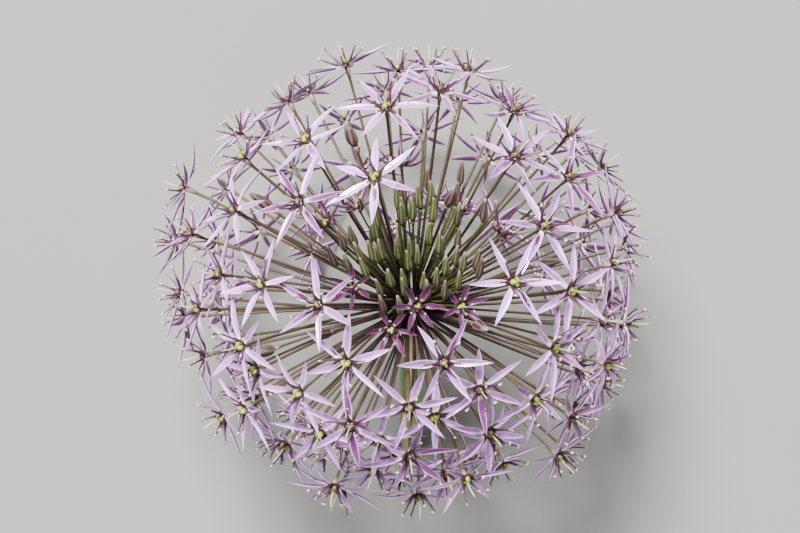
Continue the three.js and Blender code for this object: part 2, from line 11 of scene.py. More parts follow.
import bpy
import numpy as np
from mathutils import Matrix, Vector


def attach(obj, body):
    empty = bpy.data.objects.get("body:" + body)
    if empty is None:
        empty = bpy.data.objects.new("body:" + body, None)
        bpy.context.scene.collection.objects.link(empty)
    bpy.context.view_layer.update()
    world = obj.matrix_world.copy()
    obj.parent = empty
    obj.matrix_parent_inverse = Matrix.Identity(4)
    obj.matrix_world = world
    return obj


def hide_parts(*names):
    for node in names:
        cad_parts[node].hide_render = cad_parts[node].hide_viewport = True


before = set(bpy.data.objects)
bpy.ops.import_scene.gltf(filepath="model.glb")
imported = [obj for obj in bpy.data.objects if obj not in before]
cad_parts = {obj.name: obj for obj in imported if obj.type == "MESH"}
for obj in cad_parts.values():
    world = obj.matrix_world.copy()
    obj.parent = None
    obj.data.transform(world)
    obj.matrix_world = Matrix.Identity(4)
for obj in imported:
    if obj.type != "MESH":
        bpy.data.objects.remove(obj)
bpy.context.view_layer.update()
MM = 0.001
print("nodes:", len(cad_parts))

# %% [markdown]
# ## The rule that placed the flowers
#
# The solids were placed by a rule: a spiral with the golden angle, seeded random traits, and a
# short list of places that each flower may take, so that none runs through another. The same
# values are written here again, in millimetres and degrees. A flower's place could be measured on
# its solid instead, but the rule also gives the length, lift and sway of each single tepal.

# %% How many flowers, and how steep the scape is
TUFT_BUDS, OPENING, OUTER = 51, 9, 126
YOUNG = TUFT_BUDS + OPENING
ALL = YOUNG + OUTER
GOLDEN_ANGLE, SEED, AXIS_ELEVATION = 137.50776, 36, 55
print("flowers:", ALL)

# %% [markdown]
# Directions are measured from the scape's line: one angle away from it, and one round it. The
# helpers work on whole arrays of vectors, so that one call handles many flowers.

# %% Small helpers for arrays of vectors
def unit(a):
    """Vectors scaled to length one, along the last axis."""
    return a / np.linalg.norm(a, axis=-1, keepdims=True)


def mix(a, b, k):
    """The point a share k of the way from a to b."""
    return a * (1 - k) + b * k


def smooth(x, low, high):
    """0 up to low, 1 past high, and 3t squared less 2t cubed between."""
    t = np.clip((x - low) / (high - low), 0, 1)
    return t * t * (3 - 2 * t)


RISE = math.radians(AXIS_ELEVATION)
ALONG = np.array([0, math.cos(RISE), math.sin(RISE)])
BELOW = np.array([0, math.sin(RISE), -math.cos(RISE)])
SIDE = np.array([1.0, 0, 0])


def direction(polar, around):
    """The unit vector at an angle from the scape's line and an angle round it, in degrees."""
    p, a = np.radians(polar)[..., None], np.radians(around)[..., None]
    return np.cos(p) * ALONG + np.sin(p) * (np.cos(a) * BELOW + np.sin(a) * SIDE)


def even_polar(share, low, high):
    """The polar angle that has a given share of the sphere between low and high above it."""
    top, bottom = math.cos(math.radians(low)), math.cos(math.radians(high))
    return np.degrees(np.arccos(top + (bottom - top) * share))


def any_across(d):
    """A unit vector square to each d."""
    helper = np.where(np.abs(d[..., 2:]) < 0.9, [0.0, 0, 1], [0.0, 1, 0])
    return unit(np.cross(d, helper))


print("the scape points along", np.round(ALONG, 3))

# %% [markdown]
# The random traits come from a small seeded generator, so that every run grows the same head.
# Each flower draws the same number of values in the same order.

# %% Random traits
DRAWS_FIRST, DRAWS_TEPAL = 7, 3
DIRECTION_SPREAD, REACH_SPREAD, FACE_TILT, ROLL_SPREAD = 2.4, 2.5, 15, 5
SIZE_SPREAD, TEPAL_SPREAD, TEPAL_SWAY = 0.05, 0.06, 1


def seeded_draws(count, seed):
    """Numbers from 0 to 1: each state is the last times 1664525 plus 1013904223, in 32 bits."""
    state, numbers = seed, np.empty(count)
    for i in range(count):
        state = (state * 1664525 + 1013904223) % 2**32
        numbers[i] = state / 2**32
    return numbers


table = seeded_draws(ALL * (DRAWS_FIRST + 6 * DRAWS_TEPAL), SEED).reshape(ALL, -1)
per_tepal = table[:, DRAWS_FIRST:].reshape(ALL, 6, DRAWS_TEPAL)
polar_shift = (table[:, 0] * 2 - 1) * DIRECTION_SPREAD
around_shift = (table[:, 1] * 2 - 1) * DIRECTION_SPREAD
reach_shift = (table[:, 2] * 2 - 1) * REACH_SPREAD
face_tilt = table[:, 3] * FACE_TILT
face_turn = table[:, 4] * 360
size_share = 1 - SIZE_SPREAD + table[:, 5] * 2 * SIZE_SPREAD
base_roll = (table[:, 6] * 2 - 1) * ROLL_SPREAD
lift_draw = per_tepal[:, :, 0]
sway = (per_tepal[:, :, 1] * 2 - 1) * TEPAL_SWAY
long_share = 1 - TEPAL_SPREAD + per_tepal[:, :, 2] * 2 * TEPAL_SPREAD
print("traits drawn:", table.shape)

# %% [markdown]
# The flowers in the middle of an umbel open last. So the first in rank are closed buds, the next
# are half open, and the rest are open stars with a few late buds among them. All are rooted on
# the receptacle in the same order. Its skin is cut into pads, and each pad is one solid with its
# flowers, so a flower's rank also tells in which solid it is.

# %% Kinds of flower, and where each is rooted
LATE_BUD_STEP, LATE_BUD_FIRST, LATE_BUD_PART = 6, 3, 0.5
ROOT_LIMIT, ROOT_PULL, YOUNG_SHARE = 125, 0.5, 0.5
CAP_SECTORS, RING_SECTORS, CAP_MIDDLE = 4, 12, 0.6

rank = np.arange(ALL)
star_rank = rank - YOUNG
late = (star_rank >= 0) & (star_rank < OUTER * LATE_BUD_PART)
late &= star_rank % LATE_BUD_STEP == LATE_BUD_FIRST
open_kind = np.where(late, "late", "star")
kind = np.where(rank < TUFT_BUDS, "bud", np.where(rank < YOUNG, "opening", open_kind))

total_room = YOUNG * YOUNG_SHARE + OUTER


def root_polar(r):
    """How far down the dome a rank is rooted: young flowers take half the room of open ones."""
    taken = np.where(r < YOUNG, r * YOUNG_SHARE, YOUNG * YOUNG_SHARE + r - YOUNG)
    return even_polar(taken / total_room, 0, ROOT_LIMIT)


band_first = np.array([0, YOUNG, YOUNG + OUTER // 2, ALL])
band = np.searchsorted(band_first, rank, side="right") - 1
sectors = np.where(band == 0, CAP_SECTORS, RING_SECTORS)
sector = np.floor((rank * GOLDEN_ANGLE) % 360 * sectors / 360).astype(int)
band_from, band_to = root_polar(band_first[band]), root_polar(band_first[band + 1])
pad_polar = np.where(band == 0, band_to * CAP_MIDDLE, (band_from + band_to) / 2)
pad_middle = direction(pad_polar, (sector + 0.5) * 360 / sectors)
root_way = unit(mix(direction(root_polar(rank + 0.5), rank * GOLDEN_ANGLE), pad_middle, ROOT_PULL))
print({name: int((kind == name).sum()) for name in ("bud", "opening", "late", "star")})

# %% [markdown]
# ## Where the receptacle is
#
# The whole head was moved so that the origin is below its middle. The point of the scape's solid
# that lies furthest along its line is the top of the receptacle's core, so that point gives the
# place of the core's middle, from which every pedicel is measured.

# %% The middle of the receptacle, from the frame
CORE_RADIUS = 4.7


def node_points(name):
    """The different vertices of a CAD node, in millimetres."""
    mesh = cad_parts[name].data
    co = np.empty(len(mesh.vertices) * 3, np.float32)
    mesh.vertices.foreach_get("co", co)
    return np.unique(np.round(co.reshape(-1, 3).astype(float) / MM, 4), axis=0)


scape_points = node_points("scape_and_receptacle")
HUB = scape_points[np.argmax(scape_points @ ALONG)] - ALONG * CORE_RADIUS
print("receptacle's middle, mm:", np.round(HUB, 3))

# %% [markdown]
# ## One flower
#
# A flower stands on a line out of the receptacle's middle. Buds stand close in, and open stars
# fill the skin of a slightly flattened ball, whose middle is a little off the receptacle's. All of
# it is worked out for many places of the flower's list at once: an array has one row for each.

# %% The way out to a flower, and how far it stands out
TUFT_LIMIT, OPENING_FROM, OPENING_LIMIT, WINDOW, UMBEL_LIMIT = 27, 26, 39, 21, 123
TUFT_LEAN, STAR_LEAN, LEAN_ENDS, POLE_ROOM = 7, 22, (30, 110), 0.15
BUD_REACH, OPENING_REACH, LATE_BUD_SHARE = (38, 52), 56, 0.74
HEAD_RADIUS, HEAD_OFFSET, HEAD_FLATTENING = 84, np.array([-2, 14.5, 4]), 0.06


def way_out_to(i, polar_move, around_move):
    """The spiral's direction with the flower's shifts, turned about the X axis by its lean."""
    if kind[i] == "bud":
        polar, lean = even_polar((i + 0.5) / TUFT_BUDS, 0, TUFT_LIMIT), TUFT_LEAN
    elif kind[i] == "opening":
        share = (i - TUFT_BUDS + 0.5) / OPENING
        polar, lean = even_polar(share, OPENING_FROM, OPENING_LIMIT), TUFT_LEAN
    else:
        polar = even_polar((i - YOUNG + 0.5) / OUTER, WINDOW, UMBEL_LIMIT)
        lean = STAR_LEAN * (1 - smooth(polar, *LEAN_ENDS))
    polar = polar + polar_shift[i] + polar_move
    turn_shift = (around_shift[i] + around_move) / np.maximum(POLE_ROOM, np.sin(np.radians(polar)))
    d = direction(polar, i * GOLDEN_ANGLE + turn_shift)
    c, s = math.cos(math.radians(lean)), math.sin(math.radians(lean))
    return unit(np.stack([d[:, 0], c * d[:, 1] - s * d[:, 2], s * d[:, 1] + c * d[:, 2]], -1))


def reach_of(i, way):
    """Buds: by rank. Others: to where the way meets the ball, which is flattened along Y."""
    if kind[i] == "bud":
        return BUD_REACH[0] + (BUD_REACH[1] - BUD_REACH[0]) * i / TUFT_BUDS
    if kind[i] == "opening":
        return OPENING_REACH
    a = way @ HEAD_OFFSET
    reach = a + np.sqrt(a * a - HEAD_OFFSET @ HEAD_OFFSET + HEAD_RADIUS**2)
    reach = reach * (1 - HEAD_FLATTENING * way[:, 1] ** 2)
    return reach * (LATE_BUD_SHARE if kind[i] == "late" else 1)


test_way = way_out_to(YOUNG, np.zeros(1), np.zeros(1))
print("the first star stands out by, mm:", np.round(reach_of(YOUNG, test_way), 1))

# %% [markdown]
# A flower faces about the way that it stands out, with a tilt of its own. Flowers low on the head
# turn their faces outwards, so none looks far down. The young buds of the tuft all turn towards
# one line, which was upright while the plant grew.

# %% The way a flower faces
FACE_LOWEST, BUD_TILT, BUD_TURN, BUD_UPRIGHT = -0.45, 0.5, 0.6, np.array([-0.15, 0.87, 0.5])


def face_of(i, way):
    """The way plus a step across it by the tangent of the tilt; stars are held above a lowest z."""
    side = any_across(way)
    turn_to = math.radians(face_turn[i])
    tilt = side * math.cos(turn_to) + np.cross(way, side) * math.sin(turn_to)
    tilted = unit(way + tilt * math.tan(math.radians(face_tilt[i])))
    if kind[i] in ("star", "opening"):
        return unit(np.concatenate([tilted[:, :2], np.maximum(tilted[:, 2:], FACE_LOWEST)], -1))
    face = unit(mix(way, tilted, BUD_TILT))
    return unit(mix(face, unit(BUD_UPRIGHT), BUD_TURN)) if kind[i] == "bud" else face


print("the first star faces", np.round(face_of(YOUNG, test_way), 2))

# %% [markdown]
# The six tepals are laid out on the plane that the flower faces, 60 degrees apart. A star whose
# tips would reach below the surface is pulled back along its line, as a head that is laid down
# bends its lowest flowers. The pedicel's curve needs three points: root, bend and flower.

# %% Lay out one flower at many places of its list
TEPAL_LENGTH, OPENING_TEPAL_LENGTH, STAR_CUP, OPENING_CUP = 18.7, 9.5, (-1.5, 4), (5, 8)
ROOT_RADIUS, BEND_AT, BEND_TURN = 6.45, 0.4, 0.6


def tepal_point(f, part):
    """Points of the six midlines: straight out, lifted and swayed by the square of the way along."""
    straight = f["out"] * (f["long"] * part)[..., None]
    bent = f["face"][..., None, :] * f["lift"][..., None] + f["wide"] * f["sway"][..., None]
    return f["centre"][..., None, :] + straight + bent * part**2


def lay_out(i, step, turn, polar_move, around_move):
    """Flower i at each of its places: its axes, its centre, its tepals, and its pedicel's curve."""
    way = way_out_to(i, polar_move, around_move)
    reach = reach_of(i, way) + reach_shift[i] + step
    face = face_of(i, way)
    f = {"face": face, "e1": any_across(face)}
    f["e2"] = np.cross(face, f["e1"])
    angle = np.radians((base_roll[i] + turn)[:, None] + 60 * np.arange(6))[..., None]
    f["out"] = f["e1"][:, None] * np.cos(angle) + f["e2"][:, None] * np.sin(angle)
    f["wide"] = f["e2"][:, None] * np.cos(angle) - f["e1"][:, None] * np.sin(angle)
    opening = kind[i] == "opening"
    length = (OPENING_TEPAL_LENGTH if opening else TEPAL_LENGTH) * size_share[i]
    low, high = OPENING_CUP if opening else STAR_CUP
    many = (len(face), 6)
    f["long"] = np.broadcast_to(length * long_share[i], many)
    f["lift"] = np.broadcast_to(low + (high - low) * lift_draw[i], many)
    f["sway"] = np.broadcast_to(sway[i], many)
    f["centre"] = HUB + way * reach[:, None]
    if kind[i] == "star":
        lowest = np.minimum(tepal_point(f, 1)[..., 2].min(1), 0)
        reach = reach - lowest / way[:, 2]
        f["centre"] = HUB + way * reach[:, None]
    f["root"] = np.broadcast_to(HUB + root_way[i] * ROOT_RADIUS, way.shape)
    bend = unit(mix(root_way[i], way, BEND_TURN))
    f["bend"] = HUB + bend * (reach * BEND_AT)[:, None]
    return f


print("values of a flower:", len(lay_out(YOUNG, *np.zeros((4, 1)))))

# %% [markdown]
# Each flower's list of places has steps along its pedicel, turns of its tepals and small moves of
# its direction. Which one it took isn't stored. But that one has the tips of its tepals, and of
# its style or bud, among the vertices of its solid, so the place whose points are nearest to such
# vertices is the right one.

# %% Find the place that each flower took
STEPS = {"star": [0, 4, -4, 8, -8], "late": [0, 4, -4], "opening": [0, 4, -4], "bud": [0, 3, -3, 6]}
SHIFTS = {"star": [0, 3, 6], "late": [0, 4], "opening": [0, 3, 6], "bud": [0, 2.5, 5]}
TURNS, SHIFT_WAYS = [0, 10, 20, 30, 40, 50], 8
NODE_NAMES = ("bud_cluster", "upper_florets", "lower_florets")
STYLE_HEIGHT, BUD_LENGTH = 9, 10.5


def places(name):
    """All (step, turn, polar move, move round) of a kind of flower, as columns."""
    rows = []
    for shift in SHIFTS[name]:
        for way in range(SHIFT_WAYS if shift else 1):
            for step in STEPS[name]:
                for turn in TURNS if name in ("star", "opening") else [0]:
                    angle = math.radians(way * 360 / SHIFT_WAYS)
                    rows.append((step, turn, shift * math.cos(angle), shift * math.sin(angle)))
    return np.array(rows).T


def misfit(points, vertices):
    """For each place, the sum of its points' distances to their nearest vertices, each up to 1."""
    flat = points.reshape(-1, 3)
    square = (flat**2).sum(1)[:, None] + (vertices**2).sum(1) - 2 * flat @ vertices.T
    near = np.sqrt(np.maximum(square.min(1), 0)).reshape(points.shape[:2])
    return np.minimum(near, 1).sum(1)


node_of = [f"{NODE_NAMES[b]}_{s + 1:02d}" for b, s in zip(band, sector)]
solid_points = {name: node_points(name) for name in sorted(set(node_of))}
choices = {name: places(name) for name in STEPS}
flowers, worst = [], 0
for i in range(ALL):
    f = lay_out(i, *choices[kind[i]])
    open_flower = kind[i] in ("star", "opening")
    apex_height = STYLE_HEIGHT * size_share[i] if open_flower else BUD_LENGTH
    points = (f["centre"] + f["face"] * apex_height)[:, None]
    if open_flower:
        points = np.concatenate([points, tepal_point(f, 1)], 1)
    fit = misfit(points, solid_points[node_of[i]])
    best = int(np.argmin(fit))
    worst = max(worst, fit[best] / points.shape[1])
    flowers.append({key: value[best] for key, value in f.items()})
print("largest mean misfit, mm:", round(worst, 4))

# %% [markdown]
# ## Building surfaces from arrays
#
# Every organ is a tube: rows of points go along it, and the points of a row go round it. There are
# about 2,750 of them. An object with modifiers for each would be slow, so one function makes a
# whole piece at once, from an array of copies, rows, columns and coordinates. Both ends are closed
# with a point, and all faces look outwards, because the points of a row turn to the left for
# someone who looks back from the tube's end.

# %% One mesh from many tubes
def tube_faces(copies, rows, columns):
    """Corner numbers: four-sided between two rows, and three-sided round the point at each end."""
    c = np.arange(columns)
    d = (c + 1) % columns
    r = np.arange(rows - 1)[:, None] * columns
    quads = np.stack([r + c, r + d, r + columns + d, r + columns + c], -1).reshape(-1, 4)
    first, last = rows * columns, (rows - 1) * columns
    start = np.stack([np.full(columns, first), d, c], -1)
    end = np.stack([np.full(columns, first + 1), last + c, last + d], -1)
    caps = np.concatenate([start, end])
    offset = (np.arange(copies) * (first + 2))[:, None, None]
    return (quads + offset).reshape(-1, 4), (caps + offset).reshape(-1, 3)


def with_ends(values, ends):
    """Flattens rows and columns of each copy, and adds the values of its two end points."""
    flat = values.reshape(values.shape[0], -1, *values.shape[3:])
    return np.concatenate([flat, ends], 1)


def tubes(name, points, finish, slot, nodes, **marks):
    """One piece of tubes, shaped (copies, rows, columns, 3) in mm; each mark becomes an attribute."""
    copies, rows, columns = points.shape[:3]
    ends = np.stack([points[:, 0].mean(1), points[:, -1].mean(1)], 1)
    vertices = with_ends(points, ends).reshape(-1, 3) * MM
    quads, caps = tube_faces(copies, rows, columns)
    mesh = bpy.data.meshes.new(name)
    mesh.from_pydata(vertices.tolist(), [], quads.tolist() + caps.tolist())
    for mark, values in marks.items():
        values = np.broadcast_to(values, points.shape[:3])
        tips = np.stack([values[:, 0].mean(1), values[:, -1].mean(1)], 1)
        layer = mesh.attributes.new(mark, "FLOAT", "POINT")
        layer.data.foreach_set("value", with_ends(values, tips).astype(np.float32).ravel())
    mesh.polygons.foreach_set("use_smooth", np.ones(len(mesh.polygons), bool))
    mesh.materials.append(finish)
    mesh.validate()
    piece = bpy.data.objects.new(name, mesh)
    bpy.context.collection.objects.link(piece)
    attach(piece, "root")
    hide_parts(*nodes)
    print(f"{name}: {copies} tubes, {len(quads) * 2 + len(caps)} triangles")
    return piece


quads, caps = tube_faces(1, 9, 6)
print("triangles of a tube of 9 rows of 6 points:", len(quads) * 2 + len(caps))

# %% [markdown]
# The organs of one band of flowers go into one piece each: all tepals of the upper florets, all
# their pedicels, and so on. The head has no joints, so a piece for each flower isn't needed. A
# helper gathers a value of many flowers in one array.

# %% Gather flowers by band and kind
BANDS = {"tuft": 0, "upper": 1, "lower": 2}


def those(band_name, *kinds):
    """The numbers of a band's flowers that are of the given kinds."""
    return np.flatnonzero((band == BANDS[band_name]) & np.isin(kind, kinds))


def gather(numbers, key):
    """One value of several flowers, stacked."""
    return np.stack([flowers[i][key] for i in numbers])


def nodes_of(numbers):
    """The solids that hold these flowers."""
    return sorted({node_of[i] for i in numbers})


extra = np.random.default_rng(SEED)  # looks that the solids don't have
tone = extra.random(ALL)
print({name: len(those(name, "bud", "opening", "late", "star")) for name in BANDS})

# %% [markdown]
# ## Finishes
#
# All finishes are made from nodes and not from pictures, so they have no seams and stay sharp from
# near. A small helper keeps their code short: it makes a node, sets its values and links what is
# handed to its sockets. Each mesh carries its own marks, such as the share of the way along an
# organ, and the finishes read them, so that stripes and tips follow every bend.

# %% Helpers for shader nodes
def add(tree, kind_of_node, settings=None, **inputs):
    """A node with its settings and inputs, each a value or an output; i0 and i1 are the first two."""
    node = tree.nodes.new(kind_of_node)
    for key, value in (settings or {}).items():
        setattr(node, key, value)
    for key, value in inputs.items():
        socket = node.inputs[int(key[1:]) if key in ("i0", "i1") else key]
        if isinstance(value, bpy.types.NodeSocket):
            tree.links.new(value, socket)
        else:
            socket.default_value = value
    return node


def math_node(tree, operation, a, b=0.0, clamp=False):
    """The result of a Math node."""
    settings = {"operation": operation, "use_clamp": clamp}
    return add(tree, "ShaderNodeMath", settings, i0=a, i1=b).outputs[0]


def ramp_between(tree, value, low, high, to_low=0.0, to_high=1.0):
    """A value mapped smoothly from low..high to to_low..to_high."""
    node = add(tree, "ShaderNodeMapRange", {"interpolation_type": "SMOOTHSTEP"}, Value=value)
    for key, number in (("From Min", low), ("From Max", high), ("To Min", to_low), ("To Max", to_high)):
        node.inputs[key].default_value = number
    return node.outputs["Result"]


MIX_A, MIX_B, MIX_RESULT = 6, 7, 2  # the colour sockets of a Mix node, which has a set for each type


def blend(tree, factor, first, second):
    """Two colours mixed by a factor."""
    node = add(tree, "ShaderNodeMix", {"data_type": "RGBA"}, i0=factor)
    for socket, value in ((node.inputs[MIX_A], first), (node.inputs[MIX_B], second)):
        if isinstance(value, bpy.types.NodeSocket):
            tree.links.new(value, socket)
        else:
            socket.default_value = (*value, 1)
    return node.outputs[MIX_RESULT]


def mark(tree, name):
    """The value of one of the mesh's own attributes."""
    return add(tree, "ShaderNodeAttribute", {"attribute_name": name}).outputs["Fac"]


def shifted(tree, value, mottle):
    """A value moved up or down by the mottle's distance from its middle."""
    return math_node(tree, "ADD", value, math_node(tree, "SUBTRACT", mottle, 0.5))


def surface(tree, shader, colour, mottle, rough, relief, strength, depth):
    """Links the colour, a roughness that follows the mottle, and a bump of a depth in metres."""
    tree.links.new(colour, shader.inputs["Base Color"])
    tree.links.new(ramp_between(tree, mottle, 0.3, 0.7, *rough), shader.inputs["Roughness"])
    bump = add(tree, "ShaderNodeBump", Strength=strength, Distance=depth, Height=relief)
    tree.links.new(bump.outputs[0], shader.inputs["Normal"])


def new_finish(name, **constants):
    """A material with its Principled shader, whose constant values are set on its own sockets."""
    material = bpy.data.materials.new(name)
    material.use_nodes = True
    shader = material.node_tree.nodes["Principled BSDF"]
    for key, value in constants.items():
        shader.inputs[key.replace("_", " ")].default_value = value
    return material, material.node_tree, shader


print("node helpers:", [f.__name__ for f in (add, math_node, ramp_between, blend, mark, surface)])

# %% [markdown]
# Living tissue is never one even colour. A shader group gives a soft mottle from two sizes of
# noise, and fine veins that run along an organ: noise that is stretched along it. Every plant
# finish below takes what it needs from this group.

# %% A shader group for living tissue
def make_tissue_group():
    """Mottle: two noises averaged. Veins: noise at (across times count, along times 2)."""
    group = bpy.data.node_groups.new("living tissue", "ShaderNodeTree")
    face = group.interface
    for name, value in (("Mottle Size", 400.0), ("Along", 0.0), ("Across", 0.0), ("Vein Count", 9.0)):
        face.new_socket(name, in_out="INPUT", socket_type="NodeSocketFloat").default_value = value
    face.new_socket("Mottle", in_out="OUTPUT", socket_type="NodeSocketFloat")
    face.new_socket("Veins", in_out="OUTPUT", socket_type="NodeSocketFloat")
    given = group.nodes.new("NodeGroupInput").outputs
    result = group.nodes.new("NodeGroupOutput").inputs
    place = group.nodes.new("ShaderNodeTexCoord").outputs["Object"]
    fine = add(group, "ShaderNodeTexNoise", Vector=place, Scale=given["Mottle Size"], Detail=3.0)
    wider = math_node(group, "MULTIPLY", given["Mottle Size"], 0.23)
    coarse = add(group, "ShaderNodeTexNoise", Vector=place, Scale=wider, Detail=1.0)
    both = math_node(group, "ADD", fine.outputs[0], coarse.outputs[0])
    group.links.new(math_node(group, "MULTIPLY", both, 0.5), result["Mottle"])
    across = math_node(group, "MULTIPLY", given["Across"], given["Vein Count"])
    along = math_node(group, "MULTIPLY", given["Along"], 2.0)
    line = add(group, "ShaderNodeCombineXYZ", X=across, Y=along)
    veins = add(group, "ShaderNodeTexNoise", Vector=line.outputs[0], Scale=1.0, Detail=1.0)
    group.links.new(veins.outputs[0], result["Veins"])
    return group


TISSUE = make_tissue_group()


def tissue(tree, size, along=0.0, across=0.0, count=9.0):
    """The group placed in a material, with its two outputs."""
    node = add(tree, "ShaderNodeGroup", {"node_tree": TISSUE}, Along=along, Across=across)
    node.inputs["Mottle Size"].default_value = size
    node.inputs["Vein Count"].default_value = count
    return node.outputs["Mottle"], node.outputs["Veins"]


print("groups:", [g.name for g in bpy.data.node_groups])

# %% [markdown]
# A tepal is pale lilac with a satin gloss, close to white where the light falls on it. Its margins
# are paler than its middle and its base is nearly white. The back is its own deeper mauve, made
# darker still as painted shade on the side turned from the light, with a purple stripe along the
# keel, and a few tepals carry a dark stain. The gloss comes from a little metal in the shader, so
# that a tepal brightens as it turns to the light, as the real ones do.

# %% Tepal finish
def tepal_finish(name, light, deep, back, stripe, stain, margin, base, gloss=1.0):
    """Colour by the tepal's two sides, its middle and margins, its ends, its tone and stains."""
    material, tree, shader = new_finish(name, Metallic=0.2 * gloss, Specular_IOR_Level=0.7 * gloss,
                                        Sheen_Weight=0.12 * gloss, Sheen_Roughness=0.4,
                                        Subsurface_Weight=0.1, Subsurface_Scale=0.002)
    shader.inputs["Subsurface Radius"].default_value = (1.0, 0.6, 0.9)
    along, across = mark(tree, "along"), mark(tree, "across")
    mottle, veins = tissue(tree, 500.0, along, across, 7.0)
    away = math_node(tree, "ABSOLUTE", across)
    shade = shifted(tree, mark(tree, "tone"), mottle)
    top = blend(tree, ramp_between(tree, shade, 0.15, 0.95), light, deep)
    top = blend(tree, ramp_between(tree, away, 0.02, 0.3, 0.5, 0.0), top, deep)
    # The underside colour is partly the back's own deeper mauve and partly painted shade.
    underside_and_shade = blend(tree, ramp_between(tree, shade, 0.0, 1.0), back, deep)
    underside_and_shade = blend(tree, ramp_between(tree, away, 0.08, 0.4, 0.9, 0.0), underside_and_shade, stripe)
    colour = blend(tree, ramp_between(tree, mark(tree, "upper"), 0.15, 0.45), underside_and_shade, top)
    colour = blend(tree, ramp_between(tree, veins, 0.5, 0.75, 0.0, 0.3), colour, back)
    colour = blend(tree, ramp_between(tree, away, 0.6, 1.0, 0.0, 0.55), colour, margin)
    from_spot = math_node(tree, "SUBTRACT", along, mark(tree, "stain_at"))
    long_way = math_node(tree, "MULTIPLY", from_spot, 6.0)
    cross_way = math_node(tree, "MULTIPLY", shifted(tree, across, mottle), 1.9)
    square = math_node(tree, "ADD", math_node(tree, "POWER", long_way, 2.0),
                       math_node(tree, "POWER", cross_way, 2.0))
    spot = ramp_between(tree, shifted(tree, square, mottle), 0.5, 1.3, 0.92, 0.0)
    colour = blend(tree, spot, colour, stain)
    colour = blend(tree, ramp_between(tree, along, 0.86, 1.0, 0.0, 0.4), colour, back)
    colour = blend(tree, ramp_between(tree, along, 0.12, 0.27, 0.9, 0.0), colour, base)
    surface(tree, shader, colour, mottle, (0.3, 0.46), veins, 0.3, 0.0002)
    return material


tepal_lilac = tepal_finish(
    "tepal silvery lilac", light=(0.50, 0.22, 0.65), deep=(0.075, 0.010, 0.075),
    back=(0.052, 0.007, 0.048), stripe=(0.016, 0.0015, 0.013), stain=(0.026, 0.0015, 0.015),
    margin=(0.80, 0.50, 0.90), base=(0.76, 0.60, 0.62))
tepal_purple = tepal_finish(
    "opening tepal purple", light=(0.042, 0.009, 0.034), deep=(0.016, 0.003, 0.012),
    back=(0.030, 0.006, 0.023), stripe=(0.010, 0.002, 0.007), stain=(0.010, 0.002, 0.007),
    margin=(0.13, 0.045, 0.10), base=(0.035, 0.020, 0.014), gloss=0.3)
print("tepal finishes ready")

# %% [markdown]
# Pedicels are dark red brown near the receptacle, partly their own colour and partly painted shade
# where they crowd together, and turn taupe towards the flower, with a pale top. Those of the young
# buds turn green, and are darkened at the root in the same way. Filaments are dark maroon, anthers
# pale, styles cream.
# Each is one colour that turns to another along the organ, so one function makes all five.

# %% Stalk, stamen and style finishes
def two_end_finish(name, start, end, turn_at, rough=0.5, top=None, **constants):
    """Start to end colour between two shares of the way, in streaks, with a pale top if given."""
    material, tree, shader = new_finish(name, **constants)
    along = mark(tree, "along")
    mottle, veins = tissue(tree, 600.0, along, mark(tree, "around"), 6.0)
    colour = blend(tree, ramp_between(tree, shifted(tree, along, mottle), *turn_at), start, end)
    darker = blend(tree, 0.5, colour, (0.008, 0.003, 0.003))
    colour = blend(tree, ramp_between(tree, veins, 0.45, 0.75, 0.0, 0.6), colour, darker)
    if top is not None:
        colour = blend(tree, ramp_between(tree, along, 0.965, 0.99, 0.0, 0.8), colour, top)
    surface(tree, shader, colour, mottle, (rough - 0.1, rough + 0.12), veins, 0.3, 0.0001)
    return material


# The dark start colour of both pedicel finishes is partly the stalks' own red brown and partly painted
# shade round the receptacle.
pedicel_brown = two_end_finish("pedicel taupe", (0.007, 0.0020, 0.0021), (0.036, 0.0235, 0.0120),
                               (0.2, 0.95), top=(0.16, 0.095, 0.105), Specular_IOR_Level=0.25)
pedicel_green = two_end_finish("young pedicel green", (0.010, 0.0026, 0.0022), (0.038, 0.055, 0.009),
                               (0.35, 0.8), Specular_IOR_Level=0.25)
filament_maroon = two_end_finish("filament maroon", (0.016, 0.0012, 0.009), (0.060, 0.009, 0.042),
                                 (0.3, 1.1), 0.4)
anther_pale = two_end_finish("anther grey green", (0.040, 0.032, 0.026), (0.34, 0.33, 0.25),
                             (0.05, 0.85), 0.75)
style_cream = two_end_finish("style cream", (0.12, 0.16, 0.03), (0.34, 0.34, 0.17), (0.05, 0.85), 0.45)
print("stalk and stamen finishes ready")

# %% [markdown]
# A bud is wrapped in its six tepals, so it shows six long fields with a pale seam between two.
# Each field is olive green with a purple brown stripe, and the tips are pale. Older buds are
# purple brown all over. The mesh carries a wave of six turns round the bud, so stripes and seams
# lie on the fields of its shape, and twist with them.

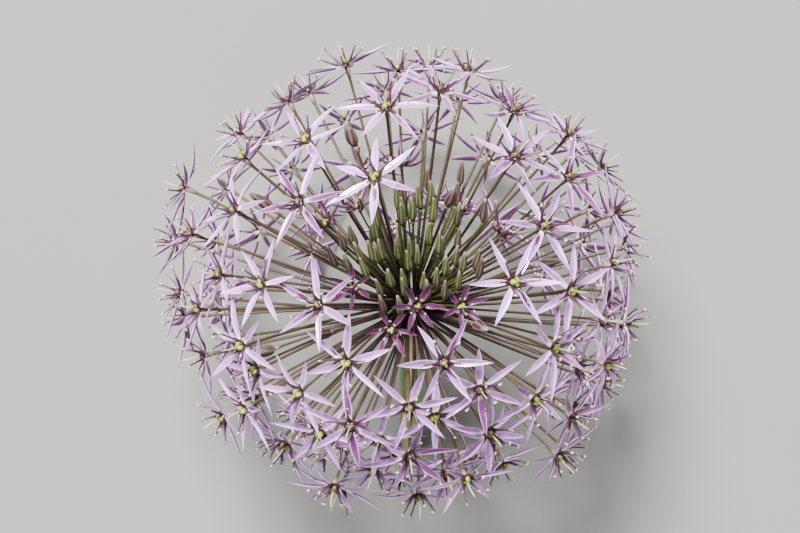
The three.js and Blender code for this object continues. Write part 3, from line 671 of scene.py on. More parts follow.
# %% Bud finish
def bud_finish():
    """Green to purple by the bud's tone, striped by the wave of its six fields."""
    material, tree, shader = new_finish("bud olive", Specular_IOR_Level=0.3, Subsurface_Weight=0.08,
                                        Subsurface_Scale=0.002)
    along, fields = mark(tree, "along"), mark(tree, "field")
    mottle, veins = tissue(tree, 550.0, along, mark(tree, "around"), 30.0)
    shade = shifted(tree, mark(tree, "tone"), mottle)
    body = blend(tree, ramp_between(tree, shade, 0.2, 0.8),
                 (0.050, 0.064, 0.018), (0.040, 0.017, 0.022))
    stripe = blend(tree, ramp_between(tree, shade, 0.2, 0.9),
                   (0.011, 0.009, 0.003), (0.007, 0.002, 0.0035))
    colour = blend(tree, ramp_between(tree, fields, -0.5, 0.9, 0.0, 0.8), body, stripe)
    seam = ramp_between(tree, fields, -1.0, -0.6, 0.7, 0.0)
    colour = blend(tree, seam, colour, (0.125, 0.125, 0.062))
    tip = ramp_between(tree, math_node(tree, "ADD", along, mottle), 1.24, 1.56, 0.0, 0.6)
    colour = blend(tree, tip, colour, (0.20, 0.14, 0.13))
    base = ramp_between(tree, along, 0.0, 0.22, 0.6, 0.0)
    colour = blend(tree, base, colour, (0.05, 0.08, 0.01))
    surface(tree, shader, colour, mottle, (0.42, 0.62), veins, 0.35, 0.00015)
    return material


bud_olive = bud_finish()
print("bud finish ready")

# %% [markdown]
# The scape is a smooth green stem with a thin grey bloom and fine ribs. Its cut end shows a pale
# ring under the skin and white pith. The spathe, which wrapped the young head, is dry straw. Both
# have long fibres, for which the veins of the group are stretched more than on a tepal.

# %% Scape and spathe finishes
def scape_finish():
    """Green by the noise of the bloom, partly brown and partly painted shade at the receptacle, pale on
    the cut.
    """
    material, tree, shader = new_finish("scape green", Coat_Weight=0.08, Coat_Roughness=0.4)
    mottle, veins = tissue(tree, 120.0, mark(tree, "along"), mark(tree, "around"), 40.0)
    colour = blend(tree, ramp_between(tree, mottle, 0.35, 0.65), (0.14, 0.24, 0.06), (0.20, 0.31, 0.10))
    colour = blend(tree, ramp_between(tree, veins, 0.45, 0.7, 0.0, 0.35), colour, (0.09, 0.15, 0.04))
    # Near the receptacle: the dome's own brown, made darker as painted shade under the crowded
    # pedicels.
    high = ramp_between(tree, mark(tree, "along"), 0.84, 0.97)
    colour = blend(tree, high, colour, (0.030, 0.010, 0.009))
    colour = blend(tree, mark(tree, "cut"), colour, (0.30, 0.42, 0.14))
    colour = blend(tree, mark(tree, "pith"), colour, (0.74, 0.76, 0.52))
    surface(tree, shader, colour, mottle, (0.36, 0.56), veins, 0.3, 0.0003)
    return material


def spathe_finish():
    """Straw colour with brown long veins, darker towards the tip."""
    material, tree, shader = new_finish("spathe straw", Subsurface_Weight=0.1, Subsurface_Scale=0.002)
    shader.inputs["Subsurface Radius"].default_value = (1.0, 0.75, 0.5)
    along, across = mark(tree, "along"), mark(tree, "across")
    mottle, veins = tissue(tree, 260.0, along, across, 10.0)
    colour = blend(tree, ramp_between(tree, mottle, 0.3, 0.7), (0.56, 0.46, 0.30), (0.40, 0.30, 0.18))
    colour = blend(tree, ramp_between(tree, veins, 0.48, 0.68, 0.0, 0.7), colour, (0.20, 0.12, 0.08))
    colour = blend(tree, ramp_between(tree, along, 0.6, 1.0, 0.0, 0.6), colour, (0.22, 0.13, 0.09))
    surface(tree, shader, colour, mottle, (0.6, 0.85), veins, 0.5, 0.0004)
    return material


scape_green = scape_finish()
spathe_straw = spathe_finish()
print("scape and spathe finishes ready")

# %% [markdown]
# ## Tepals
#
# An open floret has six narrow tepals. Each is a thin blade: widest before its middle, drawn out
# to a point, and slightly hollow along its upper side, with a keel below. A sheet with a Solidify
# modifier would do, but needs more faces. Here a blade is a closed tube whose rows go round it:
# over the upper side from one edge to the other, and back below. The midline is the one of the
# solid, so the tips stay where the solid's tips are.

# %% The surface of a tepal
ACROSS = np.array([1, 0.5, 0, -0.5, -1, 0.0])
UPPER = np.array([0.5, 1, 1, 1, 0.5, 0.0])
TEPAL_ROWS = np.array([0.05, 0.15, 0.27, 0.4, 0.54, 0.68, 0.81, 0.92, 1.0])
TEPAL_WIDEST, TEPAL_BASE, TIP_POWER, TIP_LEFT = 0.42, 0.42, 1.6, 0.015
BLADE_THICK, FOLD, FOLD_POWER, FOLD_ZERO = 0.4, 0.85, 1.3, 0.42
TWIST_MOST, WAVE_MOST, SLIMMEST, BROADEST, INNER_SHARE, SHARP_ANGLE = 20, 0.8, 0.8, 1.06, 0.9, 60


def tepal_width(u):
    """Half width as a share of the most: it rises smoothly, then falls by a power of the way left."""
    rise = mix(TEPAL_BASE, 1, smooth(u, 0, TEPAL_WIDEST))
    fall = 1 - np.clip((u - TEPAL_WIDEST) / (1 - TEPAL_WIDEST), 0, 1) ** TIP_POWER
    return np.where(u < TEPAL_WIDEST, rise, mix(TIP_LEFT, 1, fall))


def tepal_points(numbers, half_width, bow):
    """Midline, plus across times width, plus the blade's fold and thickness along its face."""
    f = {key: gather(numbers, key)[:, :, None, None] for key in ("out", "wide", "long", "lift", "sway")}
    face = gather(numbers, "face")[:, None, None, None]
    centre = gather(numbers, "centre")[:, None, None, None]
    many = (len(numbers), 6, 1, 1)
    twist = np.radians((extra.random(many) * 2 - 1) * TWIST_MOST)
    wave = (extra.random(many) * 2 - 1) * WAVE_MOST
    u = TEPAL_ROWS[:, None]
    long, lift, bent = f["long"][..., None], f["lift"][..., None], f["sway"][..., None]
    part = u[..., None]
    rise = lift * part**2 + (wave * np.sin(np.pi * u) ** 2)[..., None]
    out_by = long * part + bow * np.sin(np.pi * part)
    line = centre + f["out"] * out_by + face * rise + f["wide"] * bent * part**2
    turn = (twist * smooth(u, 0.1, 1))[..., None]
    flat = f["wide"] * np.cos(turn) + face * np.sin(turn)
    high = face * np.cos(turn) - f["wide"] * np.sin(turn)
    inner = np.where(np.arange(6) % 2, INNER_SHARE, 1)[:, None, None]
    share = tepal_width(u) * inner * mix(SLIMMEST, BROADEST, extra.random(many))
    width = (share * half_width * gather(numbers, "scale")[:, None, None, None])[..., None]
    thick = (UPPER > 0.6) * 0.5 - (UPPER < 0.4) * 0.5
    body = thick * (1 - ACROSS**2) * BLADE_THICK * np.sqrt(share)
    body = body + FOLD * share * (np.abs(ACROSS) ** FOLD_POWER - FOLD_ZERO)
    points = line + flat * width * ACROSS[:, None] + high * body[..., None]
    return points.reshape(-1, len(TEPAL_ROWS), len(ACROSS), 3)


for i, f in enumerate(flowers):
    f["scale"] = np.array(size_share[i])
print("tepal stations:", len(TEPAL_ROWS), "by", len(ACROSS))

# %% [markdown]
# The tepals make three pieces: those of the upper stars, of the lower stars, and of the half-open
# flowers, which are short, narrow and bowed. Each blade carries its floret's tone, and a few carry
# the place of a dark stain. Their edges are marked sharp, so that the two sides don't shade as one.

# %% Make the tepals of each band
STAR_HALF_WIDTH, OPENING_HALF_WIDTH, OPENING_BOW = 1.58, 1.15, 0.8
STAINED, STAIN_PLACES, NO_STAIN, FLORET_TONE = 0.09, (0.2, 0.45), -1, 0.6


def make_tepals(name, numbers, half_width, finish, stain_share, bow=0.0):
    """One piece of all tepals of these flowers, with a stain on a share of them, and sharp margins."""
    points = tepal_points(numbers, half_width, bow)
    stained = extra.random(len(numbers) * 6) < stain_share
    spot = np.where(stained, extra.uniform(*STAIN_PLACES, len(stained)), NO_STAIN)
    floret = mix(extra.random(len(stained)), np.repeat(tone[numbers], 6), FLORET_TONE)
    piece = tubes(name, points, finish, "tepals", nodes_of(numbers),
                  along=TEPAL_ROWS[:, None], across=ACROSS, upper=UPPER,
                  tone=floret[:, None, None], stain_at=spot[:, None, None])
    piece.data.set_sharp_from_angle(angle=math.radians(SHARP_ANGLE))


for name in ("upper", "lower"):
    make_tepals(f"tepals_{name}", those(name, "star"), STAR_HALF_WIDTH, tepal_lilac, STAINED)
make_tepals("tepals_opening", those("tuft", "opening"), OPENING_HALF_WIDTH, tepal_purple, 0,
            OPENING_BOW)

# %% [markdown]
# ## Tubes along a curve
#
# Pedicels, styles and filaments are thin round stems. Curve objects with a round bevel could make
# them one by one. Here one function carries a circle along many lines of points at once: at each
# point the circle is square to the line, and its radius may change.

# %% Carry a circle along lines
def swept(lines, radius, sides, flat=1.0, hint=None):
    """Ellipses about lines (copies, rows, 3), square to the line and flat times as high as wide."""
    way = unit(np.gradient(lines, axis=1))
    helper = any_across(way[:, :1]) if hint is None else hint[:, None]
    second = unit(np.cross(way, np.broadcast_to(helper, way.shape)))
    first = np.cross(second, way)
    angle = np.arange(sides) * 2 * np.pi / sides
    high = np.reshape(flat, (-1, 1)) * np.cos(angle)
    ring = first[:, :, None] * high[..., None] + second[:, :, None] * np.sin(angle)[:, None]
    return lines[:, :, None] + ring * np.broadcast_to(radius, lines.shape[:2])[..., None, None]


def curve_points(a, b, c, t):
    """A curve with one control point: a, b and c weighted by (1-t) squared, 2t(1-t) and t squared."""
    t = t[None, :, None]
    return a[:, None] * (1 - t) ** 2 + b[:, None] * 2 * t * (1 - t) + c[:, None] * t**2


ends_and_control = np.eye(3)[:, None]
print("weights of a, b and c half way:", curve_points(*ends_and_control, np.array([0.5]))[0, 0])

# %% [markdown]
# A pedicel starts in the receptacle with a thickened foot, runs out in one gentle bend, and
# widens into the base of its flower. Near its end it curls round, so that it enters the flower
# along the line that the flower faces. Young buds turn furthest, so theirs curl most.

# %% Make the pedicels
PEDICEL_ROWS = np.concatenate([[0, 0.04, 0.12], np.linspace(0.25, 0.82, 4), [0.9, 0.96, 0.985, 1]])
THIN_COLUMNS = 5
STAR_STEM, YOUNG_STEM, STAR_BASE, YOUNG_BASE = 0.57, 0.42, 1.15, 0.8
CURL_FROM, STAR_CURL, YOUNG_CURL, PEDICEL_END = 0.72, 4, 9, 0.35
ROOT_SWELL, ROOT_SWELL_AT, TOP_SWELL_FROM, STEM_SPREAD = 0.7, (0.02, 0.14), 0.955, 0.2


def make_pedicels(name, numbers, stem, base, curl, finish):
    """Curves from root to flower, less the face times curl times s squared times (1 - s) at the end."""
    centre, face = gather(numbers, "centre"), gather(numbers, "face")
    t = PEDICEL_ROWS
    end = centre - face * PEDICEL_END
    lines = curve_points(gather(numbers, "root"), gather(numbers, "bend"), end, t)
    s = np.clip((t - CURL_FROM) / (1 - CURL_FROM), 0, 1)
    lines = lines - face[:, None] * (curl * s**2 * (1 - s))[:, None]
    radius = stem * (1 + ROOT_SWELL * (1 - smooth(t, *ROOT_SWELL_AT)))
    radius = radius + (base - stem) * smooth(t, TOP_SWELL_FROM, 1)
    radius = radius * (1 + STEM_SPREAD * (extra.random((len(numbers), 1)) - 0.5))
    points = swept(lines, radius, THIN_COLUMNS)
    around = np.abs(np.linspace(-1, 1, THIN_COLUMNS))
    tubes(name, points, finish, "pedicels", nodes_of(numbers), along=t[:, None], around=around)


for name in ("upper", "lower"):
    numbers = those(name, "star", "late")
    make_pedicels(f"pedicels_{name}", numbers, STAR_STEM, STAR_BASE, STAR_CURL, pedicel_brown)
numbers = those("tuft", "bud", "opening")
make_pedicels("pedicels_tuft", numbers, YOUNG_STEM, YOUNG_BASE, YOUNG_CURL, pedicel_green)

# %% [markdown]
# ## Stamens
#
# Six filaments stand round the ovary, one before each tepal. Their feet are broad and flat and
# make a dark ring; above, each thins to a thread that bends outwards and up, and carries a pale
# anther on its tip. Foot and thread are one swept tube, so there is no joint to hide. On the
# lowest florets the threads that would reach the surface stay above it.

# %% Make the filaments
FILAMENT_ROWS = np.array([0, 0.08, 0.18, 0.32, 0.48, 0.65, 0.82, 1.0])
FILAMENT_FOOT, STAR_FILAMENT, LOWEST_ANTHER = 1.7, 8.4, 1.4
THREAD_RADIUS, THREAD_TAPER, FOOT_RADIUS, FOOT_END, FOOT_FLAT = 0.38, 0.06, 1.2, 0.48, 0.45
FOOT_LIFT, THREAD_BEND, THREAD_LEAN, THREAD_LENGTHS = 0.15, (-1.0, 1.4), (-1.4, 1.4), (0.85, 1.1)
STAR_RISE, OPENING_RISE, OPENING_FILAMENT, OPENING_THREAD = (24, 66), (60, 82), 4.4, 0.75


def filament_lines(numbers, length, rises):
    """From the foot, out and up at a drawn angle, with bends that grow as the way's square."""
    out = gather(numbers, "out")
    face = gather(numbers, "face")[:, None]
    wide = gather(numbers, "wide")
    many = (len(numbers), 6, 1)
    rise = np.radians(extra.uniform(*rises, many))
    bend = extra.uniform(*THREAD_BEND, many)
    lean = extra.uniform(*THREAD_LEAN, many)
    share = gather(numbers, "scale")[:, None, None]
    long = length * share * extra.uniform(*THREAD_LENGTHS, many)
    start = gather(numbers, "centre")[:, None] + out * FILAMENT_FOOT * share + face * FOOT_LIFT
    way = out * np.cos(rise) + face * np.sin(rise)
    s = FILAMENT_ROWS[:, None]
    line = start[:, :, None] + way[:, :, None] * (long[..., None] * s)
    aside = face[:, :, None] * bend[..., None] + wide[:, :, None] * lean[..., None]
    line = line + aside * s**2
    short = np.minimum(line[..., 2:].min(2, keepdims=True) - LOWEST_ANTHER, 0)
    line[..., 2:] -= short * s**2
    return line.reshape(-1, len(FILAMENT_ROWS), 3), np.repeat(face[:, 0], 6, 0)


def make_filaments(name, numbers, length, rises, share=1.0):
    """Broad and flat at the foot, and thinning quickly to a round thread."""
    lines, face = filament_lines(numbers, length, rises)
    s = FILAMENT_ROWS
    foot = 1 - smooth(s, 0, FOOT_END)
    radius = (THREAD_RADIUS + (FOOT_RADIUS - THREAD_RADIUS) * foot - THREAD_TAPER * s) * share
    points = swept(lines, radius, THIN_COLUMNS, flat=1 - (1 - FOOT_FLAT) * foot, hint=face)
    tubes(name, points, filament_maroon, "filaments", nodes_of(numbers), along=s[:, None], around=0)
    return lines


threads = {}
for name in ("upper", "lower"):
    threads[name] = make_filaments(f"filaments_{name}", those(name, "star"), STAR_FILAMENT, STAR_RISE)
threads["opening"] = make_filaments("filaments_opening", those("tuft", "opening"), OPENING_FILAMENT,
                                    OPENING_RISE, OPENING_THREAD)

# %% [markdown]
# An anther is a grain that swings on the tip of its thread, and each hangs its own way. It is a
# swept tube again, with the radius of a ball along a short line in a random direction.

# %% Make the anthers
ANTHER_ROWS = np.radians(np.linspace(-78, 78, 6))
ANTHER_LONG, ANTHER_WIDE, ANTHER_SAG, OPENING_ANTHER = 0.95, 0.44, 0.35, 0.7


def make_anthers(name, band_name, numbers, share=1.0):
    """Small bent grains on the thread tips: a circle of cosine radius along a line that sags."""
    tip = threads[band_name][:, -1]
    way = unit(extra.normal(size=tip.shape))
    sag = np.cross(way, unit(extra.normal(size=tip.shape))) * ANTHER_SAG
    s = np.sin(ANTHER_ROWS)[:, None]
    lines = tip[:, None] + (way[:, None] * ANTHER_LONG * s + sag[:, None] * (s**2 - 0.5)) * share
    points = swept(lines, ANTHER_WIDE * np.cos(ANTHER_ROWS) * share, THIN_COLUMNS)
    tubes(name, points, anther_pale, "anthers", nodes_of(numbers), along=(s + 1) / 2, around=0)


for name in ("upper", "lower"):
    make_anthers(f"anthers_{name}", name, those(name, "star"))
make_anthers("anthers_opening", "opening", those("tuft", "opening"), OPENING_ANTHER)

# %% [markdown]
# ## Ovary and style
#
# The ovary is a bright yellow green ball of three lobes with small warts, and is what catches the
# eye in the middle of each floret. Furrows part the lobes, and older ovaries are smaller and olive
# with brown dots. The style stands on its top. The lobes are a wave in the ball's radius, and the
# finish paints shade into the furrows with the same wave, so the painted shade and the shape agree.

# %% Ovary finish
def ovary_finish():
    """Yellow green to olive by the floret's tone, painted shade in the furrows, and brown dots of
    noise.
    """
    material, tree, shader = new_finish("ovary yellow green", Specular_IOR_Level=0.35,
                                        Subsurface_Weight=0.1, Subsurface_Scale=0.001)
    mottle = tissue(tree, 1400.0)[0]
    shade = shifted(tree, mark(tree, "tone"), mottle)
    colour = blend(tree, ramp_between(tree, shade, 0.35, 0.95),
                   (0.120, 0.160, 0.017), (0.045, 0.052, 0.010))
    # Painted shade: the furrows between the lobes are darkened nearly to black.
    furrow = ramp_between(tree, mark(tree, "furrow"), 0.2, 0.85, 0.0, 0.9)
    colour = blend(tree, furrow, colour, (0.014, 0.008, 0.004))
    dots = ramp_between(tree, math_node(tree, "ADD", mottle, mark(tree, "tone")), 0.9, 1.15, 0.0, 0.8)
    colour = blend(tree, dots, colour, (0.030, 0.012, 0.008))
    surface(tree, shader, colour, mottle, (0.35, 0.6), mottle, 0.7, 0.0003)
    return material


ovary_green = ovary_finish()
print("ovary finish ready")

# %% [markdown]
# The ovary is worked out in its floret's own axes, so that it sits square on it, and the ovaries
# of half-open flowers are smaller. A style is a swept tube up to where the solid's point ends.

# %% Make ovaries and styles
OVARY_ROWS, OVARY_COLUMNS = np.radians([-55, -15, 15, 42, 64, 82]), 12
OVARY_WIDE, OVARY_TALL, OVARY_MIDDLE, OVARY_SIZES = 1.75, 1.45, 1.2, (1.08, 0.82)
LOBE_SWELL, WART_SWELL = 0.2, 0.07
STYLE_ROWS = np.array([0, 0.2, 0.45, 0.7, 0.9, 0.96, 1.0])
STYLE_RADII = np.array([0.38, 0.32, 0.27, 0.22, 0.17, 0.13, 0.08])
STYLE_START, STYLE_SWAY = 1.8, 0.35
OPENING_OVARY, OPENING_STYLE = 0.72, 0.62


def make_ovaries(name, numbers, share):
    """A ball whose radius swells three times round it, and six times as a small wave of warts."""
    centre, face = gather(numbers, "centre"), gather(numbers, "face")
    e1, e2 = gather(numbers, "e1"), gather(numbers, "e2")
    old = tone[numbers]
    size = (share * mix(*OVARY_SIZES, old))[:, None, None, None]
    p = OVARY_ROWS[:, None]
    a = np.arange(OVARY_COLUMNS) * 2 * np.pi / OVARY_COLUMNS
    lobes = 1 + LOBE_SWELL * np.cos(3 * a) * np.cos(p)
    lobes = lobes + WART_SWELL * np.cos(6 * a + 2) * np.sin(5 * p)
    flat = (np.cos(p) * lobes * OVARY_WIDE)[..., None]
    ring = np.cos(a)[:, None] * e1[:, None, None] + np.sin(a)[:, None] * e2[:, None, None]
    high = (np.sin(p) * OVARY_TALL * (lobes * 0.5 + 0.5))[..., None] * face[:, None, None]
    middle = (centre + face * OVARY_MIDDLE * share)[:, None, None]
    points = middle + (ring * flat + high) * size
    tubes(name, points, ovary_green, "ovaries", nodes_of(numbers),
          furrow=(0.5 - 0.5 * np.cos(3 * a)) ** 2, tone=old[:, None, None])


def make_styles(name, numbers, share):
    """A tapered stalk from the ovary's top to where the solid's point ends."""
    centre, face, e1 = (gather(numbers, key) for key in ("centre", "face", "e1"))
    s = STYLE_ROWS[:, None]
    height = (STYLE_HEIGHT * share * gather(numbers, "scale"))[:, None, None]
    sway_by = extra.uniform(-STYLE_SWAY, STYLE_SWAY, (len(numbers), 1, 1))
    lines = centre[:, None] + face[:, None] * mix(STYLE_START * share, height, s)
    lines = lines + e1[:, None] * sway_by * np.sin(np.pi * s)
    points = swept(lines, STYLE_RADII, THIN_COLUMNS)
    tubes(name, points, style_cream, "ovaries", nodes_of(numbers), along=s, around=0)


for name in ("upper", "lower"):
    make_ovaries(f"ovaries_{name}", those(name, "star"), 1.0)
    make_styles(f"styles_{name}", those(name, "star"), 1.0)
make_ovaries("ovaries_opening", those("tuft", "opening"), OPENING_OVARY)
make_styles("styles_opening", those("tuft", "opening"), OPENING_STYLE)

# %% [markdown]
# ## Buds
#
# A bud is a narrow cone of folded tepals on a round base, widest a quarter of the way up. Its
# six fields stand out a little between the seams, and twist slightly towards the tip. Six folded
# sheets could be laid round it, but a closed bud shows only their outsides, so one tube will do.

# %% Make the buds
BUD_ROWS = np.array([0, 0.04, 0.1, 0.18, 0.28, 0.4, 0.52, 0.64, 0.75, 0.85, 0.93, 0.98])
BUD_COLUMNS, BUD_FIELDS, BUD_TWIST, BUD_SLIM, BUD_LEAN = 24, 6, 0.5, (0.9, 1.08), 0.35
BUD_RADIUS, BUD_WIDEST, BUD_FOOT, BUD_POINT, BUD_POWER = 1.9, 0.28, 0.38, 0.2, 1.5
FIELD_SWELL, FIELD_ZERO, RIPE_SPREAD, RIPE_POWER = 0.09, 0.6, 0.25, 1.3
TUFT_RIPE, LATE_RIPE, TUFT_FAT, LATE_FAT = (0.05, 0.8), 0.95, 0.8, 1.12


def make_buds(name, numbers, ripe, fat):
    """Radius: a round base, then a fall by a power towards the tip, with six fields round it."""
    centre, face = gather(numbers, "centre"), gather(numbers, "face")
    e1, e2 = gather(numbers, "e1"), gather(numbers, "e2")
    u = BUD_ROWS[:, None]
    base = mix(BUD_FOOT, 1, np.sqrt(1 - (1 - np.clip(u / BUD_WIDEST, 0, 1)) ** 2))
    cone = mix(1, BUD_POINT, np.clip((u - BUD_WIDEST) / (1 - BUD_WIDEST), 0, 1) ** BUD_POWER)
    a = np.arange(BUD_COLUMNS) * 2 * np.pi / BUD_COLUMNS
    fields = np.abs(np.cos(a * BUD_FIELDS / 2)) - FIELD_ZERO
    fields = 1 + FIELD_SWELL * fields * smooth(u, 0, 0.2)
    slim = fat * extra.uniform(*BUD_SLIM, len(numbers))[:, None, None]
    radius = BUD_RADIUS * np.minimum(base, cone) * fields * slim
    turn = a + BUD_TWIST * u + extra.uniform(0, 6, len(numbers))[:, None, None]
    ring = np.cos(turn)[..., None] * e1[:, None, None] + np.sin(turn)[..., None] * e2[:, None, None]
    lean = extra.uniform(-BUD_LEAN, BUD_LEAN, (len(numbers), 1, 1, 1))
    line = centre[:, None, None] + face[:, None, None] * (BUD_LENGTH * u)[..., None]
    line = line + e1[:, None, None] * lean * (u * (1 - u))[..., None] * 4
    points = line + ring * radius[..., None]
    shade = np.clip(ripe + extra.uniform(-RIPE_SPREAD, RIPE_SPREAD, len(numbers)), 0, 1)
    tubes(name, points, bud_olive, "buds", nodes_of(numbers), tone=shade[:, None, None], along=u,
          around=np.abs(a / np.pi - 1), field=np.cos(BUD_FIELDS * a))


tuft = those("tuft", "bud")
make_buds("buds_tuft", tuft, mix(*TUFT_RIPE, (tuft / TUFT_BUDS) ** RIPE_POWER), TUFT_FAT)
make_buds("buds_late", those("upper", "late"), LATE_RIPE, LATE_FAT)

# %% [markdown]
# ## Scape, receptacle and spathe
#
# The scape is turned: a profile of radius against the way along it. It widens to a collar where
# the spathe grew, narrows to a neck, and swells to the dome that carries the pedicels. The cut
# end is square to the stem, and its lowest point is on the surface. A Screw modifier would turn
# the profile too, but a grid of points also takes the fine ribs and the bumps of the dome.

# %% Make the scape with the receptacle
SCAPE_RADIUS, DOME_RADIUS, COLLAR_EXTRA = 4.5, 7.1, 0.5
TURN_COLUMNS, RIBS, RIB_DEPTH, DOME_BUMP = 64, 16, 0.012, 0.22
cut_depth = (HUB[2] - SCAPE_RADIUS * math.cos(RISE)) / ALONG[2]
CUT = [(0.0, 1.0), (0.35, 1.0), (0.7, 1.0), (0.8, 0.4), (0.9, 0.0), (0.985, 0.0)]


def scape_profile():
    """Rows of (radius, height, cut, pith): the cut face, the stem, collar, neck and dome."""
    rows = [(share * SCAPE_RADIUS + 0.02, -cut_depth, 1.0, pith) for share, pith in CUT]
    rows += [(SCAPE_RADIUS, -cut_depth + 0.15, 0.5, 0)]
    rows += [(SCAPE_RADIUS, h, 0, 0) for h in np.linspace(-cut_depth + 1, -12, 24)]
    rows += [(SCAPE_RADIUS + COLLAR_EXTRA * k, h, 0, 0) for k, h in ((0.3, -9.5), (1, -8), (0.9, -7.2))]
    rows += [(r, h, 0, 0) for r, h in ((4.2, -6.4), (3.9, -5.6), (4.6, -5.0))]
    polar = np.radians(np.linspace(128, 3, 22))
    rows += [(DOME_RADIUS * math.sin(p), DOME_RADIUS * math.cos(p), 0, 0) for p in polar]
    return np.array(rows)


profile = scape_profile()
turn = np.arange(TURN_COLUMNS) * 2 * np.pi / TURN_COLUMNS
on_stem = (smooth(profile[:, 1], -cut_depth, -cut_depth + 2) * (profile[:, 1] < -10))[:, None]
height = profile[:, 1:2]
radius = profile[:, :1] * (1 - RIB_DEPTH * on_stem * (1 - np.cos(RIBS * turn)))
radius = radius + (height > -3) * DOME_BUMP * np.cos(11 * turn + 9 * height) * np.sin(3 * height)
across = np.cos(turn)[:, None] * SIDE + np.sin(turn)[:, None] * np.cross(ALONG, SIDE)
points = HUB + height[..., None] * ALONG + radius[..., None] * across
tubes("scape_and_dome", points[None], scape_green, "scape", ["scape_and_receptacle"],
      along=np.clip(1 + height / cut_depth, 0, 1), around=np.abs(turn / np.pi - 1),
      cut=profile[:, 2:3], pith=profile[:, 3:])

# %% [markdown]
# The three valves of the spathe are thin dry sheets, arched over the scape, with a waved edge.
# They hang out from the collar along the same midline as their solids. Dry valves are too stiff
# to drape, so a formula gives their arch and waves, and no cloth is simulated.

# %% Make the spathe valves
SPATHE_LENGTH, SPATHE_WIDTH, SPATHE_VALVES, VALVE_FIRST = 27, 9, 3, 60
VALVE_DEPTH, VALVE_CLEARANCE, VALVE_HANG, VALVE_SHORTENING = 8.5, 0.8, 9, 0.12
VALVE_ROWS, VALVE_SHEET, VALVE_LIFT = np.linspace(0, 1, 22), 0.22, 0.4
VALVE_ARCH, VALVE_WAVE, VALVE_BASE, UPPER_COUNT = 0.055, 0.35, 0.45, 9
VALVE_ACROSS = np.concatenate([np.linspace(1, -1, UPPER_COUNT), np.linspace(-0.75, 0.75, 7)])


def make_valve(number):
    """Midline by squares of the way along; across, an arch, and a wave that grows to the edge."""
    way_out = direction(np.array(90.0), np.array(VALVE_FIRST + 360 / SPATHE_VALVES * number))
    sideways = np.cross(ALONG, way_out)
    t = VALVE_ROWS[:, None]
    v = VALVE_ACROSS
    upper = np.where(np.arange(len(v)) < UPPER_COUNT, 1, -1) * (1 - v**2)
    width = SPATHE_WIDTH / 2 * mix(VALVE_BASE, 1, smooth(t, 0, 0.4))
    width = width * (1 - smooth(t, 0.42, 1.02) ** 1.2)
    wave = VALVE_WAVE * v**2 * np.sin(t * 17 + v * 2.5 + number * 2) * smooth(t, 0, 0.3)
    away = SCAPE_RADIUS + VALVE_CLEARANCE + VALVE_HANG * t**2 + VALVE_LIFT
    out = away - VALVE_ARCH * (width * v) ** 2 + wave + upper * VALVE_SHEET / 2
    down = -VALVE_DEPTH - SPATHE_LENGTH * (t - VALVE_SHORTENING * t**2)
    points = HUB + out[..., None] * way_out + down[..., None] * ALONG
    points = points + (width * v)[..., None] * sideways
    tubes(f"spathe_sheet_{number + 1}", points[None, :, ::-1], spathe_straw, "spathe",
          [f"spathe_valve_{number + 1}"], along=t, across=v[::-1])


for number in range(SPATHE_VALVES):
    make_valve(number)

# %% [markdown]
# ## Floor, light and camera
#
# The head lies on a plain floor and is seen from above. One soft light stands at the top side of
# the picture, as the sky did, and a weaker one fills from the other side. The tissues are given
# deep colours and the light is strong, so a mid grey floor comes out pale under it.

# %% Floor and lights
def floor_finish():
    """A matt grey with a very faint mottle, pale in this light."""
    material, tree, shader = new_finish("pale floor", Roughness=0.95, Specular_IOR_Level=0.05)
    mottle = tissue(tree, 5.0)[0]
    colour = blend(tree, ramp_between(tree, mottle, 0.3, 0.7),
                   (0.108, 0.108, 0.104), (0.116, 0.116, 0.112))
    tree.links.new(colour, shader.inputs["Base Color"])
    return material


FLOOR_HALF = 3.0
floor_mesh = bpy.data.meshes.new("floor")
corners = [(-FLOOR_HALF, -FLOOR_HALF, 0), (FLOOR_HALF, -FLOOR_HALF, 0),
           (FLOOR_HALF, FLOOR_HALF, 0), (-FLOOR_HALF, FLOOR_HALF, 0)]
floor_mesh.from_pydata(corners, [], [(0, 1, 2, 3)])
floor_mesh.materials.append(floor_finish())
floor = bpy.data.objects.new("floor", floor_mesh)
bpy.context.collection.objects.link(floor)


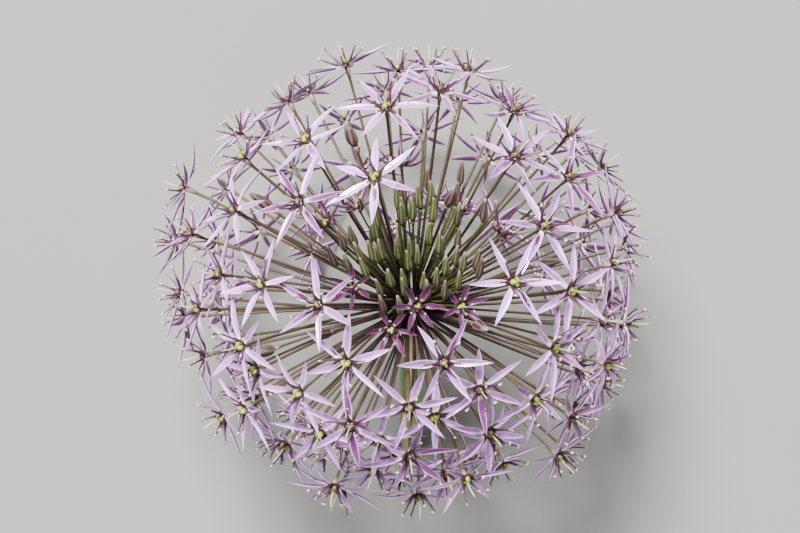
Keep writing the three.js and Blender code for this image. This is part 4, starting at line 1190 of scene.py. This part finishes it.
def area_light(name, place, target, width, power, colour):
    """A square light at a place, turned to look at a target, in metres and watts."""
    data = bpy.data.lights.new(name, "AREA")
    data.size, data.energy, data.color = width, power, colour
    light = bpy.data.objects.new(name, data)
    light.location = place
    way = light.location - target
    light.rotation_euler = way.to_track_quat("Z", "Y").to_euler()
    bpy.context.collection.objects.link(light)


SKY_AWAY, SKY_SIZE, SKY_POWER, SKY_COLOUR = Vector((-0.6, 1.68, 3.0)), 1.26, 1400, (1.0, 0.985, 0.96)
FILL_AWAY, FILL_SIZE, FILL_POWER, FILL_COLOUR = Vector((0.5, -1.1, 0.4)), 1.0, 10, (0.92, 0.96, 1.0)
ROOM_COLOUR, ROOM_STRENGTH = (0.9, 0.95, 1.0, 1), 0.2
middle = Vector(HUB * MM)
area_light("sky", middle + SKY_AWAY, middle, SKY_SIZE, SKY_POWER, SKY_COLOUR)
area_light("fill", middle + FILL_AWAY, middle, FILL_SIZE, FILL_POWER, FILL_COLOUR)
world = bpy.data.worlds.new("room")
world.use_nodes = True
background = world.node_tree.nodes["Background"]
background.inputs["Color"].default_value = ROOM_COLOUR
background.inputs["Strength"].default_value = ROOM_STRENGTH
bpy.context.scene.world = world

# %% [markdown]
# The camera looks straight down, as in the photograph. Its distance and lens give the picture's
# width at the depth of the receptacle, and its place puts the receptacle where the photograph has
# it. It stands well off, with a long lens, so that the near florets aren't much enlarged.

# %% Camera
CAMERA_DISTANCE, LENS, SENSOR = 1.2, 142, 36
PICTURE_WIDTH, PICTURE_HEIGHT = 800, 533
HUB_PIXEL = (411, 307)
metres_per_pixel = CAMERA_DISTANCE * SENSOR / LENS / PICTURE_WIDTH
camera_data = bpy.data.cameras.new("camera")
camera_data.lens, camera_data.sensor_width = LENS, SENSOR
camera = bpy.data.objects.new("camera", camera_data)
camera.location = middle + Vector((
    (PICTURE_WIDTH / 2 - HUB_PIXEL[0]) * metres_per_pixel,
    (HUB_PIXEL[1] - PICTURE_HEIGHT / 2) * metres_per_pixel,
    CAMERA_DISTANCE,
))
bpy.context.collection.objects.link(camera)
bpy.context.scene.camera = camera
print("millimetres per pixel:", round(metres_per_pixel / MM, 3))
